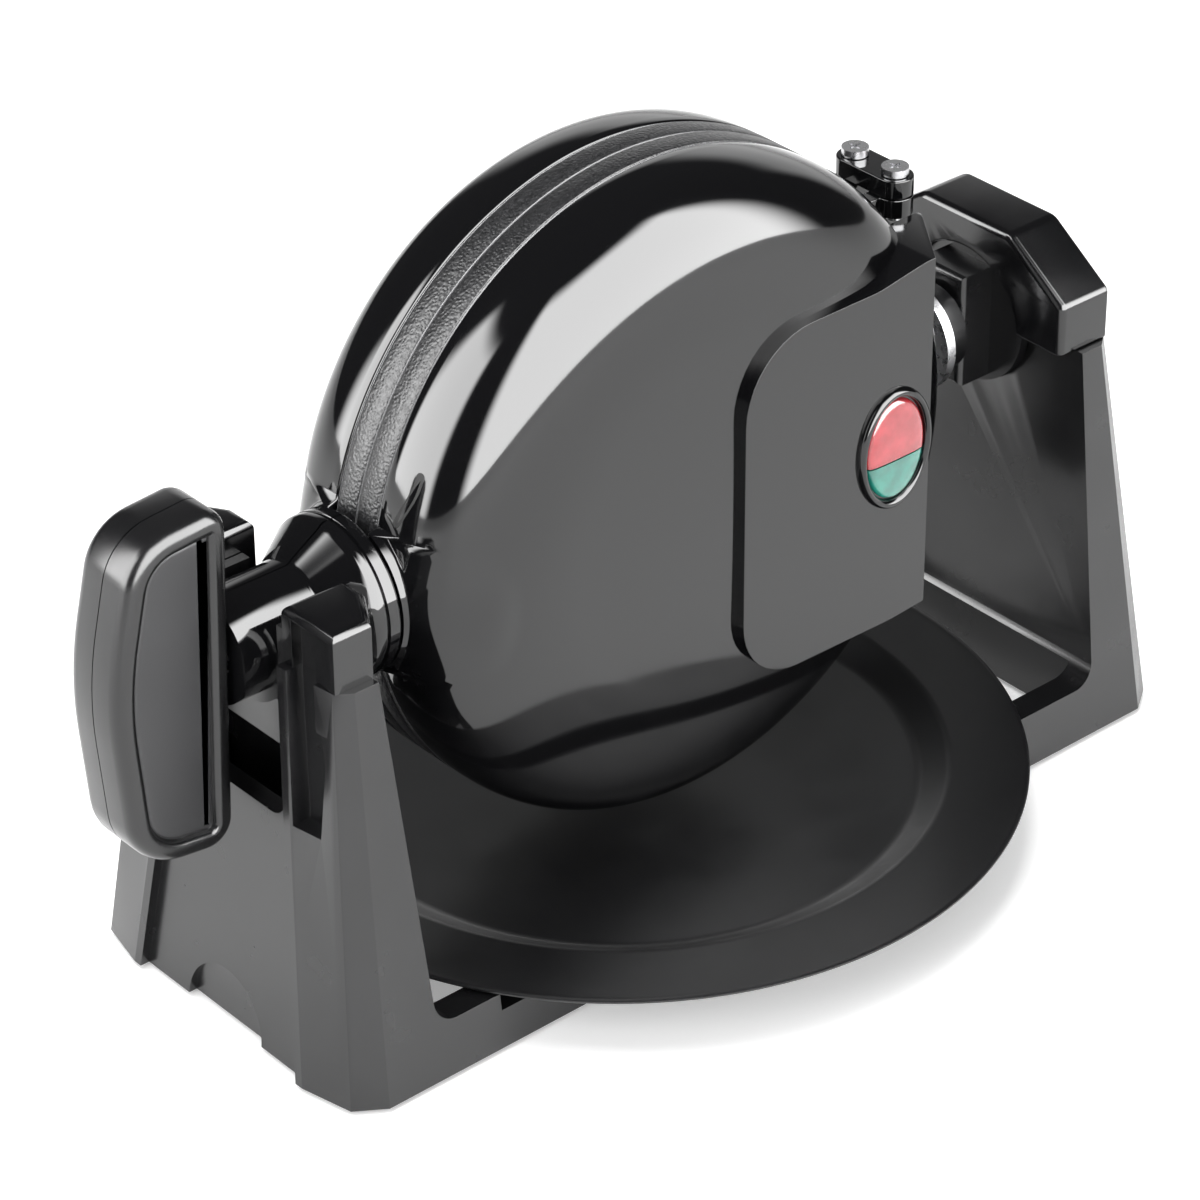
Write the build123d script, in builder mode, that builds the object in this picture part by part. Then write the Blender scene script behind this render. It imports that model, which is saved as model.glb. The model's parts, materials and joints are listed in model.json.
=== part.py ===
from build123d import *
import os
from math import cos, radians, sin, sqrt

os.makedirs("parts", exist_ok=True)

# Driving dimensions, in millimetres

# Stand
AXIS_Z = 133.5  # height of the turning axis above the table
FOOT_RISE = 1.6  # rubber feet stand this far out of the frame
BASE_HALF_Y = 66.5  # half depth of the stand at the table
SEAM_HALF_Y = 47.4  # half depth at the seam under the tower caps
SEAM_Z = 135.2
BASE_HALF_X = 160.0  # where the front face ends and the corner begins
CORNER_X = 169.5
CORNER_Y = 60.0
RIDGE_X = 173.6
RIDGE_Y = 41.9
SEAM_HALF_X = 152.5
SEAM_CORNER_X = 157.5
SEAM_CORNER_Y = 43.5
SEAM_RIDGE_X = 160.0
SEAM_RIDGE_Y = 24.0
POST_INNER_FOOT = 138.4  # inner face of a tower at the table
POST_INNER_SEAM = 143.7
RAIL_TOP = 19.7
RAIL_BACK_Y = 54.0  # inner side of the front and back rails
RAIL_CORNER_R = 8.0
FRAME_WALL = 3.0
PANEL_RECESS = 3.0  # the outer face lies this deep between the ridges
FOOT_ARCH_W = 70.0
FOOT_ARCH_H = 18.0
SADDLE_BLOCK_Y = 28.0  # the tower is full behind the saddle
SADDLE_BLOCK_Z = 100.0
SIDE_SLOT_HALF = 24.5
SIDE_SLOT_Z = 84.0
GROOVE_Z = 87.0
GROOVE_EDGE = 1.2
GROOVE_W = 11.0
GROOVE_D = 3.6

# Tower caps
HORN_TOP = 154.5
HORN_HALF_Y = 44.7
HORN_INNER_X = 135.0
HORN_OUTER_X = 157.4
HORN_CHAMFER = 8.5
HORN_CHAMFER_Y = 13.5
SLOT_HALF = 21.0  # open saddle between the horns
HOOP_TOP = 170.0
HOOP_FLAT_HALF = 20.0
HOOP_SHOULDER_Z = 153.0
HOOP_INNER_X = 136.0
HOOP_OUTER_X = 157.5
ARCH_R = 24.5

# Tray
TRAY_X = -6.0
TRAY_Y = 7.3
TRAY_R = 132.0
TRAY_RIM_Z = 21.7
TRAY_RIM_INNER = 107.0
TRAY_FLOOR_R = 97.5
TRAY_DEPTH = 5.7
TRAY_WALL = 1.6
TRAY_GAP = 0.3

# Turning body
BODY_X = -8.0
SEAM_R = 108.0
COVER_R = 107.9
PART_GAP = 0.3  # half of the gap between the two halves
BAND_D = 9.2  # depth of each grained band
BAND_INNER_R = 96.0
COVER_START = 9.5
DOME_D = 44.5
DOME_FLAT_R = 58.0
DOME_EDGE_D = 13.0
QUARTER = 0.72  # fullness of the dome's shoulder, 0.55 is an ellipse
COVER_WALL = 2.4

# Raised panel, lamp
PANEL_D = 47.2
PANEL_LEFT = -2.5
PANEL_HALF_Z = 60.5
PANEL_FACE_RIGHT = 74.0
PANEL_END_X = 94.4  # the lid ends here beside its hinge
PANEL_END_D = 21.0
PANEL_BACK_D = 13.0
PANEL_TOP_R = 26.0
PANEL_LOW_R = 19.0
LAMP_X = 60.0
BEZEL_A = 14.8
BEZEL_B = 20.5
LENS_A = 11.9
LENS_B = 17.0
LENS_SPLIT = -3.5  # the split between the lenses lies below the lamp's middle
LENS_TOP_D = 48.8
BEZEL_TOP_D = 49.4
BEZEL_BACK_D = 46.0
LENS_BACK_D = 38.0
LENS_GAP = 0.15

# Plates and heating
PLATE_R = 95.7
PLATE_RIM_R = 88.0
PLATE_BACK_D = 13.0
PLATE_FLOOR_D = 10.0
STUD = 10.0
STUD_PITCH = 16.0
STUD_FIELD_R = 84.0
STUD_TOP_D = 4.0
HEATER_R = 60.0
HEATER_TUBE_R = 3.2
PAN_R = 86.0
PAN_WALL = 0.8
PAN_FLOOR_D = 20.5
PAN_HOLE_R = 12.0
THERMOSTAT_R = 8.0
THERMOSTAT_H = 11.0
SCREW_R = 1.8
SCREW_HEAD_R = 3.4
SCREW_HEAD_H = 2.0

# Neck and handle
JOURNAL_R = 17.0
BULGE_R = 26.0
NECK_START_X = -106.0
NECK_THROAT_R = 21.0
BULGE_X0 = -117.6
BULGE_X1 = -126.0
JOURNAL_X0 = -138.0
NECK_END_X = -168.0
CORE_R = 8.0
CORE_START_X = -97.0
CORE_END_X = -196.0
FLARE_X0 = -96.0
FLARE_R0 = 36.0
FLARE_X1 = -117.0
FLARE_R1 = 25.6
HANDLE_RIGHT_X = -168.5
HANDLE_LEFT_X = -211.0
HANDLE_HALF_Z = 57.0
HANDLE_HALF_Y = 12.0
HANDLE_SAG = 14.0
HANDLE_R_OUT = 16.0
HANDLE_R_IN = 9.0
HANDLE_EDGE_R = 3.5
INLAY_MARGIN = 7.0
INLAY_DEPTH = 2.0
INLAY_GAP = 0.25

# Saddle liner, bearing and shaft
LINER_WALL = 3.6
LINER_X0 = -156.5
LINER_X1 = -140.0
RUN_CLEAR = 0.06
SEAT_CLEAR = 0.1
SHAFT_R = 6.5
SHAFT_BORE_R = 3.5
SHAFT_END_X = 146.5
FLANGE_R = 18.5
FLANGE_X0 = 112.0
FLANGE_X1 = 115.5
COLLAR_R = 15.0
COLLAR_X1 = 124.4
WASHER_R = 11.0
HOUSING_X0 = 126.0
HOUSING_X1 = 143.0
HOUSING_HALF_Y = 10.0
HOUSING_HALF_Z = 20.0
HOUSING_PLATE_X = 139.6
BUSH_R = 9.0
BUSH_X0 = 131.4
CIRCLIP_T = 1.2
CIRCLIP_GAP = 0.4
ARCH_END_X = 154.0  # closed side of the arch
PLUNGER_X = 128.7
PLUNGER_R = 2.5
PLUNGER_LEN = 6.0
PLUNGER_TRAVEL = 1.2
PLUNGER_CREST = 0.15  # gap over the shaft while the body turns
SPRING_LEN = 5.0
PLUG_LEN = 3.0
YOKE_DEPTH = 9.0  # boss on the back cover that carries the shaft
YOKE_HALF_Z = 14.0
LEAD_R = 2.0
LEAD_X = 150.5

# Hinge
PIN_X = 95.0
PIN_D = 9.0  # each pin stands this far from the parting plane
PIN_R = 2.2
KNUCKLE_R = 6.0
BRACKET_Z0 = 55.0
BRACKET_Z1 = 61.4
LINK_Z0 = 61.7
LINK_Z1 = 68.0
PIN_HEAD_Z0 = 68.3
PIN_HEAD_Z1 = 70.8
PIN_HEAD_R = 4.4
ARM_START_X = 74.0
ARM_D0 = 3.0
ARM_D1 = 8.6
LID_END_X = 94.6

# Small fittings
COVER_PLATE = 2.0
COVER_FIT = 0.8
BOSS_Y = 22.0
BOSS_LEN = 24.0
BASE_SCREW_LEN = 16.0
BASE_HEAD_H = 1.2
FOOT_R = 8.0
FOOT_X = 151.5
FOOT_Y = 48.0
INLET_X = 149.6
INLET_Z = 24.0
INLET_R = 5.0
INLET_OUT_Y = 66.0
INLET_IN_Y = 58.6
TERMINAL_X = 151.0
TERMINAL_Z = 60.0
TERMINAL_L = 13.0
TERMINAL_W = 24.0
TERMINAL_H = 14.0
LEAD_BEND = 3.2
CAP_WALL = 4.5
HORN_ROUND = 3.0
HOOP_ROUND = 6.0
HOOP_EDGE_R = 2.5
SEAM_COLLAR_GAP = 1.4
LINER_LIP = 12.0
ARCH_FIT = 0.3
SPRING_WIRE = 0.35
SPRING_R = 1.8
SPRING_TURNS = 3.5
NOTCH_DEPTH = 1.5
WASHER_GAP = 0.2
SCREW_FLAT_H = 0.9
YOKE_LEN = 24.0
YOKE_SCREW_Y = 13.5
YOKE_SCREW_Z = 8.0
CORE_CLEAR = 0.3
PLATE_LAND_D = 1.0
STUD_TAPER = 8.0
SCREW_BITE = 2.0
PAN_SCREW_R = 74.0
PAN_SCREW_ANGLE = 45.0
HEATER_GAP_ANGLE = 12.0
HEATER_LEG = 8.0
TERMINAL_RATIO = 0.6
PANEL_FIT = 0.3
PANEL_EDGE_R = 1.5
LENS_ROUND = 1.0
BOARD_GAP = 2.4
BOARD_T = 1.6
FUSE_R = 1.8
FUSE_LEN = 16.0
FUSE_Z = 30.0
INNER_LEAD_LEN = 18.0
HANDLE_SCREW_X = -188.0
HANDLE_SCREW_Z = 32.0

BIG = 400.0

axis_x = Axis((0, 0, AXIS_Z), (1, 0, 0))
axis_body = Axis((BODY_X, 0, AXIS_Z), (0, 1, 0))
front_profile = Plane(origin=(BODY_X, 0, AXIS_Z), x_dir=(0, 0, 1), z_dir=(1, 0, 0))
back_profile = Plane(origin=(BODY_X, 0, AXIS_Z), x_dir=(0, 0, 1), z_dir=(-1, 0, 0))
along_profile = Plane(origin=(0, 0, AXIS_Z), x_dir=(1, 0, 0), z_dir=(0, -1, 0))


def face_plane(depth):
    """Plane parallel to the waffle plates, facing the front, with the axis as its X."""
    return Plane(origin=(0, -depth, AXIS_Z), x_dir=(1, 0, 0), z_dir=(0, -1, 0))


def cross_plane(x):
    """Plane square to the turning axis, facing +X."""
    return Plane(origin=(x, 0, AXIS_Z), x_dir=(0, 1, 0), z_dir=(1, 0, 0))


def save(piece, name):
    piece.part.label = name
    export_step(piece.part, f"parts/{name}.step")


def plan_outline(ridge_x, ridge_y, corner_x, corner_y, end_x, half_y, inset=0.0):
    """The stand's outline seen from above, as a list of points."""
    quarter = [
        (end_x - inset, half_y - inset),
        (corner_x - inset, corner_y - inset),
        (ridge_x - inset, ridge_y - inset),
    ]
    right = [(x, -y) for x, y in quarter] + [(x, y) for x, y in reversed(quarter)]
    left = [(-x, y) for x, y in reversed(right)]
    return right + left


def lean_x(z):
    """Inner face of a tower at a height."""
    return POST_INNER_FOOT + (POST_INNER_SEAM - POST_INNER_FOOT) * z / SEAM_Z


def between(foot, seam, z):
    """A size of the stand at a height, from its sizes at the table and at the seam."""
    return foot + (seam - foot) * z / SEAM_Z


def profile(side):
    """Plane of a revolved profile; its Y is the depth from the parting plane on that side."""
    return front_profile if side < 0 else back_profile


def dome(side, extra=0.0, inset=0.0):
    """Solid of one half's cover, grown by extra or shrunk by a wall."""
    edge_r = COVER_R + extra - inset
    top = DOME_D + extra - inset
    with BuildPart() as body:
        with BuildSketch(profile(side)):
            with BuildLine():
                Line((0, COVER_START - extra), (edge_r, COVER_START - extra))
                Line((edge_r, COVER_START - extra), (edge_r, DOME_EDGE_D))
                Bezier(
                    (edge_r, DOME_EDGE_D),
                    (edge_r, DOME_EDGE_D + QUARTER * (top - DOME_EDGE_D)),
                    (DOME_FLAT_R + QUARTER * (edge_r - DOME_FLAT_R), top),
                    (DOME_FLAT_R, top),
                )
                Line((DOME_FLAT_R, top), (0, top))
                Line((0, top), (0, COVER_START - extra))
            make_face()
        revolve(axis=axis_body)
    return body.part


def flare(extra=0.0):
    """Cone where the neck runs into the body."""
    with BuildPart() as cone:
        with BuildSketch(along_profile):
            Polygon(
                (FLARE_X0, 0), (FLARE_X0, FLARE_R0 + extra), (FLARE_X1, FLARE_R1 + extra), (FLARE_X1, 0),
                align=None,
            )
        revolve(axis=axis_x)
    return cone.part


def tower_cavity(side):
    """Hollow of one tower, as it will be cut from the frame."""
    seam_top = SEAM_Z - FRAME_WALL
    foot = [
        (POST_INNER_FOOT + FRAME_WALL, BASE_HALF_Y - FRAME_WALL),
        (BASE_HALF_X - FRAME_WALL, BASE_HALF_Y - FRAME_WALL),
        (CORNER_X - 2 * FRAME_WALL, CORNER_Y - FRAME_WALL),
        (RIDGE_X - 2 * FRAME_WALL - PANEL_RECESS, RIDGE_Y - FRAME_WALL),
    ]
    seam = [
        (POST_INNER_SEAM + FRAME_WALL, SEAM_HALF_Y - FRAME_WALL),
        (SEAM_HALF_X - FRAME_WALL, SEAM_HALF_Y - FRAME_WALL),
        (SEAM_CORNER_X - 2 * FRAME_WALL, SEAM_CORNER_Y - FRAME_WALL),
        (SEAM_RIDGE_X - 2 * FRAME_WALL - PANEL_RECESS, SEAM_RIDGE_Y - FRAME_WALL),
    ]
    with BuildPart() as cavity:
        for points, height in ((foot, 0), (seam, seam_top)):
            with BuildSketch(Plane.XY.offset(height)):
                Polygon(
                    *[(side * x, -y) for x, y in points],
                    *[(side * x, y) for x, y in reversed(points)],
                    align=None,
                )
        loft(ruled=True)
        with Locations((side * (POST_INNER_FOOT + BASE_HALF_X) / 2, 0, SADDLE_BLOCK_Z + SEAM_Z / 2)):
            Box(BASE_HALF_X, 2 * SADDLE_BLOCK_Y, SEAM_Z, mode=Mode.SUBTRACT)
    return cavity.part


def group(name, make, places):
    """The same small piece at several places, written as one node."""
    with BuildPart() as pieces:
        for place in places:
            add(place * make)
    save(pieces, name)


# Stand frame

cavities = [tower_cavity(side) for side in (-1, 1)]
boss_places = [
    (side * (POST_INNER_FOOT + FRAME_WALL + SCREW_HEAD_R), y)
    for side in (-1, 1)
    for y in (-BOSS_Y, BOSS_Y)
]
cover_top = FOOT_RISE + COVER_PLATE
with BuildPart() as frame:
    with BuildSketch(Plane.XY.offset(FOOT_RISE)):
        Polygon(*plan_outline(RIDGE_X, RIDGE_Y, CORNER_X, CORNER_Y, BASE_HALF_X, BASE_HALF_Y), align=None)
    with BuildSketch(Plane.XY.offset(SEAM_Z)):
        Polygon(
            *plan_outline(SEAM_RIDGE_X, SEAM_RIDGE_Y, SEAM_CORNER_X, SEAM_CORNER_Y, SEAM_HALF_X, SEAM_HALF_Y),
            align=None,
        )
    loft(ruled=True)
    # The open window between the towers, above the rails
    with BuildSketch(Plane.XZ.offset(-BIG / 2)) as window:
        Polygon(
            (-lean_x(RAIL_TOP), RAIL_TOP),
            (lean_x(RAIL_TOP), RAIL_TOP),
            (lean_x(BIG), BIG),
            (-lean_x(BIG), BIG),
            align=None,
        )
        fillet(window.vertices().sort_by(Axis.Y)[:2], RAIL_CORNER_R)
    extrude(amount=BIG, mode=Mode.SUBTRACT)
    # The space between the rails
    Box(2 * POST_INNER_FOOT, 2 * RAIL_BACK_Y, 2 * (RAIL_TOP + RAIL_CORNER_R), mode=Mode.SUBTRACT)
    # A seat in each rail for the tray's dish
    with BuildSketch(Plane.XY.offset(TRAY_RIM_Z - TRAY_DEPTH - TRAY_WALL - TRAY_GAP)):
        with Locations((TRAY_X, 0)):
            Rectangle(2 * (TRAY_RIM_INNER + TRAY_WALL + 2 * TRAY_GAP), BIG)
    extrude(amount=RAIL_TOP, mode=Mode.SUBTRACT)
    # Hollow towers, full behind the saddles
    for cavity in cavities:
        add(cavity, mode=Mode.SUBTRACT)
    # Bosses for the base screws
    with Locations(*[(x, y, cover_top) for x, y in boss_places]):
        Cylinder(SCREW_HEAD_R, BOSS_LEN, align=(Align.CENTER, Align.CENTER, Align.MIN))
    with Locations(*[(x, y, 0) for x, y in boss_places]):
        Cylinder(SCREW_R + SEAT_CLEAR, cover_top + BASE_SCREW_LEN, mode=Mode.SUBTRACT,
                 align=(Align.CENTER, Align.CENTER, Align.MIN))
    # Saddle on the left, arch on the right
    for start, length, radius in (
        (-RIDGE_X - FRAME_WALL, RIDGE_X - POST_INNER_FOOT + 2 * FRAME_WALL, SLOT_HALF),
        (POST_INNER_FOOT - FRAME_WALL, ARCH_END_X - POST_INNER_FOOT + FRAME_WALL, ARCH_R),
    ):
        with BuildSketch(cross_plane(start)):
            Circle(radius)
            with Locations((0, radius)):
                Rectangle(2 * radius, 2 * radius)
        extrude(amount=length, mode=Mode.SUBTRACT)
    # Opening in the left tower's outer face below the saddle
    with BuildSketch(Plane.YZ.offset(-RIDGE_X - FRAME_WALL)) as side_slot:
        Polygon(
            (-SIDE_SLOT_HALF, SIDE_SLOT_Z),
            (SIDE_SLOT_HALF, SIDE_SLOT_Z),
            (SLOT_HALF, SEAM_Z),
            (-SLOT_HALF, SEAM_Z),
            align=None,
        )
        fillet(side_slot.vertices().group_by(Axis.Y)[0], HOOP_ROUND)
    extrude(amount=RIDGE_X + FRAME_WALL + LINER_X0 + GROOVE_D, mode=Mode.SUBTRACT)
    # Grooves beside the ridges
    for side in (-1, 1):
        for way in (-1, 1):
            sections = []
            for height in (GROOVE_Z, SEAM_Z):
                with BuildSketch(Plane.XY.offset(height)) as section:
                    with Locations((
                        side * (between(CORNER_X, SEAM_CORNER_X, height) + GROOVE_D / 2),
                        way * (between(RIDGE_Y, SEAM_RIDGE_Y, height) + GROOVE_EDGE + GROOVE_W / 2),
                    )):
                        Rectangle(3 * GROOVE_D, GROOVE_W)
                sections.append(section.sketch)
            loft(sections=sections, ruled=True, mode=Mode.SUBTRACT)
    # Way for the leads from the right tower to the arch
    with BuildSketch(Plane.XY.offset(SADDLE_BLOCK_Z - FRAME_WALL)):
        with Locations((LEAD_X, 0)):
            Circle(LEAD_R + 2 * SEAT_CLEAR)
    extrude(amount=AXIS_Z - SADDLE_BLOCK_Z, mode=Mode.SUBTRACT)
    # Hole for the mains inlet
    with BuildSketch(Plane.XZ.offset(-BASE_HALF_Y - FRAME_WALL)):
        with Locations((INLET_X, INLET_Z)):
            Circle(INLET_R + SEAT_CLEAR)
    extrude(amount=4 * FRAME_WALL, mode=Mode.SUBTRACT)
    # Recess between the ridges and the arch between the feet
    for side in (-1, 1):
        with BuildSketch(Plane.XY.offset(0)) as low:
            with Locations((side * RIDGE_X, 0)):
                Rectangle(2 * PANEL_RECESS, 2 * (RIDGE_Y - PANEL_RECESS))
        with BuildSketch(Plane.XY.offset(SEAM_Z)) as high:
            with Locations((side * SEAM_RIDGE_X, 0)):
                Rectangle(2 * PANEL_RECESS, 2 * (SEAM_RIDGE_Y - PANEL_RECESS))
        loft(sections=[low.sketch, high.sketch], ruled=True, mode=Mode.SUBTRACT)
        with Locations((side * (RIDGE_X + BIG / 2 - 2 * PANEL_RECESS), 0, FOOT_RISE)):
            Cylinder(FOOT_ARCH_H, BIG, rotation=(0, 90, 0), mode=Mode.SUBTRACT)
save(frame, "stand_frame")

for side, name in ((-1, "left_bottom_cover"), (1, "right_bottom_cover")):
    with BuildPart() as cover:
        with BuildSketch(Plane.XY.offset(FOOT_RISE)):
            Polygon(
                *[
                    (side * x, y)
                    for x, y in (
                        (POST_INNER_FOOT + FRAME_WALL + COVER_FIT, FRAME_WALL + COVER_FIT - BASE_HALF_Y),
                        (BASE_HALF_X - FRAME_WALL - 2 * COVER_FIT, FRAME_WALL + COVER_FIT - BASE_HALF_Y),
                        (CORNER_X - 2 * FRAME_WALL - COVER_FIT, FRAME_WALL + COVER_FIT - CORNER_Y),
                        (RIDGE_X - 2 * FRAME_WALL - PANEL_RECESS - COVER_FIT, FRAME_WALL - RIDGE_Y),
                        (RIDGE_X - 2 * FRAME_WALL - PANEL_RECESS - COVER_FIT, RIDGE_Y - FRAME_WALL),
                        (CORNER_X - 2 * FRAME_WALL - COVER_FIT, CORNER_Y - FRAME_WALL - COVER_FIT),
                        (BASE_HALF_X - FRAME_WALL - 2 * COVER_FIT, BASE_HALF_Y - FRAME_WALL - COVER_FIT),
                        (POST_INNER_FOOT + FRAME_WALL + COVER_FIT, BASE_HALF_Y - FRAME_WALL - COVER_FIT),
                    )
                ],
                align=None,
            )
        extrude(amount=COVER_PLATE - RUN_CLEAR)
        with Locations(*[(x, y, 0) for x, y in boss_places]):
            Cylinder(SCREW_R + SEAT_CLEAR, 4 * COVER_PLATE, mode=Mode.SUBTRACT)
    save(cover, name)

with BuildPart() as screw:
    with Locations((0, 0, FOOT_RISE - BASE_HEAD_H)):
        Cylinder(SCREW_HEAD_R, BASE_HEAD_H, align=(Align.CENTER, Align.CENTER, Align.MIN))
    with Locations((0, 0, FOOT_RISE - BASE_HEAD_H)):
        Cylinder(SCREW_R, BASE_HEAD_H + BASE_SCREW_LEN, align=(Align.CENTER, Align.CENTER, Align.MIN))
    with Locations((0, 0, FOOT_RISE - BASE_HEAD_H)):
        Box(2 * SCREW_R, SCREW_R / 2, BASE_HEAD_H, mode=Mode.SUBTRACT)
group("base_screws", screw.part, [Pos(x, y, 0) for x, y in boss_places])

with BuildPart() as foot:
    Cylinder(FOOT_R, FOOT_RISE, align=(Align.CENTER, Align.CENTER, Align.MIN))
    fillet(foot.edges().group_by(Axis.Z)[0], FOOT_RISE / 3)
group(
    "rubber_feet",
    foot.part,
    [Pos(i * FOOT_X, j * FOOT_Y, 0) for i in (-1, 1) for j in (-1, 1)],
)

with BuildPart() as grommet:
    with BuildSketch(Plane.XZ.offset(-INLET_OUT_Y)):
        with Locations((INLET_X, INLET_Z)):
            Circle(INLET_R)
            Circle(INLET_R / 2, mode=Mode.SUBTRACT)
    extrude(amount=INLET_OUT_Y - INLET_IN_Y)
    with BuildSketch(Plane.XZ.offset(-INLET_IN_Y)):
        with Locations((INLET_X, INLET_Z)):
            Circle(INLET_R + FRAME_WALL / 2)
            Circle(INLET_R / 2, mode=Mode.SUBTRACT)
    extrude(amount=FRAME_WALL / 2)
save(grommet, "inlet_grommet")

with BuildPart() as terminals:
    with Locations((TERMINAL_X, 0, TERMINAL_Z)):
        Box(TERMINAL_L, TERMINAL_W, TERMINAL_H)
    fillet(terminals.edges().filter_by(Axis.Y), SCREW_R / 2)
    with Locations(*[(TERMINAL_X, y, TERMINAL_Z + TERMINAL_H / 2) for y in (-TERMINAL_W / 3, TERMINAL_W / 3)]):
        Cylinder(SCREW_R, TERMINAL_H / 2, mode=Mode.SUBTRACT)
save(terminals, "terminal_block")

with BuildPart() as mains_leads:
    with BuildLine() as lead_path:
        Line((LEAD_X, 0, TERMINAL_Z + TERMINAL_H / 2), (LEAD_X, 0, AXIS_Z - LEAD_BEND))
        RadiusArc((LEAD_X, 0, AXIS_Z - LEAD_BEND), (LEAD_X - LEAD_BEND, 0, AXIS_Z), -LEAD_BEND)
        Line((LEAD_X - LEAD_BEND, 0, AXIS_Z), (FLANGE_X0 + LEAD_R, 0, AXIS_Z))
    with BuildSketch(Plane.XY.offset(TERMINAL_Z + TERMINAL_H / 2)):
        with Locations((LEAD_X, 0)):
            Circle(LEAD_R)
    sweep()
save(mains_leads, "mains_leads")

# Cap with the saddle on the left tower

with BuildPart() as saddle_cap:
    with BuildSketch(Plane.XY.offset(SEAM_Z)):
        for side in (-1, 1):
            Polygon(
                (-HORN_INNER_X, side * SLOT_HALF),
                (-HORN_INNER_X, side * (HORN_HALF_Y - HORN_CHAMFER_Y)),
                (-HORN_INNER_X - HORN_CHAMFER, side * HORN_HALF_Y),
                (-HORN_OUTER_X, side * HORN_HALF_Y),
                (-HORN_OUTER_X, side * SLOT_HALF),
                align=None,
            )
    extrude(amount=HORN_TOP - SEAM_Z)
    fillet(saddle_cap.edges().group_by(Axis.Z)[-1], HORN_ROUND)
    # The grooves of the tower run on into the horns
    for side in (-1, 1):
        with Locations((
            -HORN_OUTER_X,
            side * (SEAM_RIDGE_Y + GROOVE_EDGE + GROOVE_W / 2),
            (SEAM_Z + HORN_TOP) / 2 - HORN_ROUND,
        )):
            Box(2 * GROOVE_D, GROOVE_W, HORN_TOP - SEAM_Z, mode=Mode.SUBTRACT)
    # The collar round the slot joins the two horns
    with BuildSketch(cross_plane(-POST_INNER_SEAM + SEAM_COLLAR_GAP)) as collar_ring:
        Circle(SLOT_HALF + CAP_WALL)
        Circle(SLOT_HALF, mode=Mode.SUBTRACT)
        with Locations((0, BIG / 2 + SEAM_Z - AXIS_Z)):
            Rectangle(BIG, BIG, mode=Mode.SUBTRACT)
        for side in (-1, 1):
            with Locations((side * (SLOT_HALF + CAP_WALL / 2), (SEAM_Z - AXIS_Z) / 2)):
                Rectangle(CAP_WALL, SEAM_Z - AXIS_Z)
    extrude(amount=POST_INNER_SEAM - SEAM_COLLAR_GAP - HORN_INNER_X)
save(saddle_cap, "left_saddle_cap")

with BuildPart() as liner:
    with BuildSketch(cross_plane(LINER_X0)):
        Circle(JOURNAL_R + LINER_WALL)
        with Locations((0, LINER_LIP / 2)):
            Rectangle(2 * (JOURNAL_R + LINER_WALL), LINER_LIP)
        Circle(JOURNAL_R + RUN_CLEAR, mode=Mode.SUBTRACT)
        with Locations((0, BIG / 2)):
            Rectangle(2 * (JOURNAL_R + RUN_CLEAR), BIG, mode=Mode.SUBTRACT)
        with Locations((0, BIG / 2 + LINER_LIP)):
            Rectangle(BIG, BIG, mode=Mode.SUBTRACT)
    extrude(amount=LINER_X1 - LINER_X0)
save(liner, "saddle_liner")

# Hoop cap and bearing on the right tower

with BuildPart() as hoop:
    with BuildSketch(Plane.YZ.offset(HOOP_INNER_X)) as hoop_outline:
        Polygon(
            (-HORN_HALF_Y, SEAM_Z),
            (HORN_HALF_Y, SEAM_Z),
            (HORN_HALF_Y, HOOP_SHOULDER_Z),
            (HOOP_FLAT_HALF, HOOP_TOP),
            (-HOOP_FLAT_HALF, HOOP_TOP),
            (-HORN_HALF_Y, HOOP_SHOULDER_Z),
            align=None,
        )
        fillet(hoop_outline.vertices().group_by(Axis.Y)[-1], HOOP_ROUND)
        fillet(hoop_outline.vertices().group_by(Axis.Y)[1], HOOP_ROUND / 2)
    extrude(amount=HOOP_OUTER_X - HOOP_INNER_X)
    with BuildSketch(Plane.YZ.offset(HOOP_INNER_X)):
        with Locations((0, AXIS_Z)):
            Circle(ARCH_R)
    extrude(amount=ARCH_END_X - HOOP_INNER_X, mode=Mode.SUBTRACT)
    fillet(
        hoop.edges().group_by(Axis.X)[0].filter_by(lambda e: e.center().Z > AXIS_Z + ARCH_R + HOOP_EDGE_R),
        HOOP_EDGE_R,
    )
save(hoop, "right_hoop_cap")

with BuildPart() as housing:
    with BuildSketch(cross_plane(HOUSING_X0)):
        Rectangle(2 * HOUSING_HALF_Y, 2 * HOUSING_HALF_Z)
    extrude(amount=HOUSING_X1 - HOUSING_X0)
    fillet(housing.edges().group_by(Axis.X)[0], HOOP_EDGE_R)
    with BuildSketch(cross_plane(HOUSING_PLATE_X)):
        Circle(ARCH_R - ARCH_FIT)
    extrude(amount=HOUSING_X1 - HOUSING_PLATE_X)
    with BuildSketch(cross_plane(HOUSING_X0)):
        Circle(SHAFT_R + RUN_CLEAR)
    extrude(amount=HOUSING_X1, mode=Mode.SUBTRACT)
    with BuildSketch(cross_plane(BUSH_X0)):
        Circle(BUSH_R + RUN_CLEAR)
    extrude(amount=HOUSING_X1, mode=Mode.SUBTRACT)
    with BuildSketch(Plane.XY.offset(AXIS_Z - HOUSING_HALF_Z)):
        with Locations((PLUNGER_X, 0)):
            Circle(PLUNGER_R + RUN_CLEAR)
    extrude(amount=HOUSING_HALF_Z, mode=Mode.SUBTRACT)
save(housing, "bearing_housing")

with BuildPart() as bush:
    with BuildSketch(cross_plane(BUSH_X0 + RUN_CLEAR)):
        Circle(BUSH_R)
        Circle(SHAFT_R + RUN_CLEAR, mode=Mode.SUBTRACT)
    extrude(amount=HOUSING_X1 - BUSH_X0 - RUN_CLEAR)
save(bush, "bearing_bush")

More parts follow.
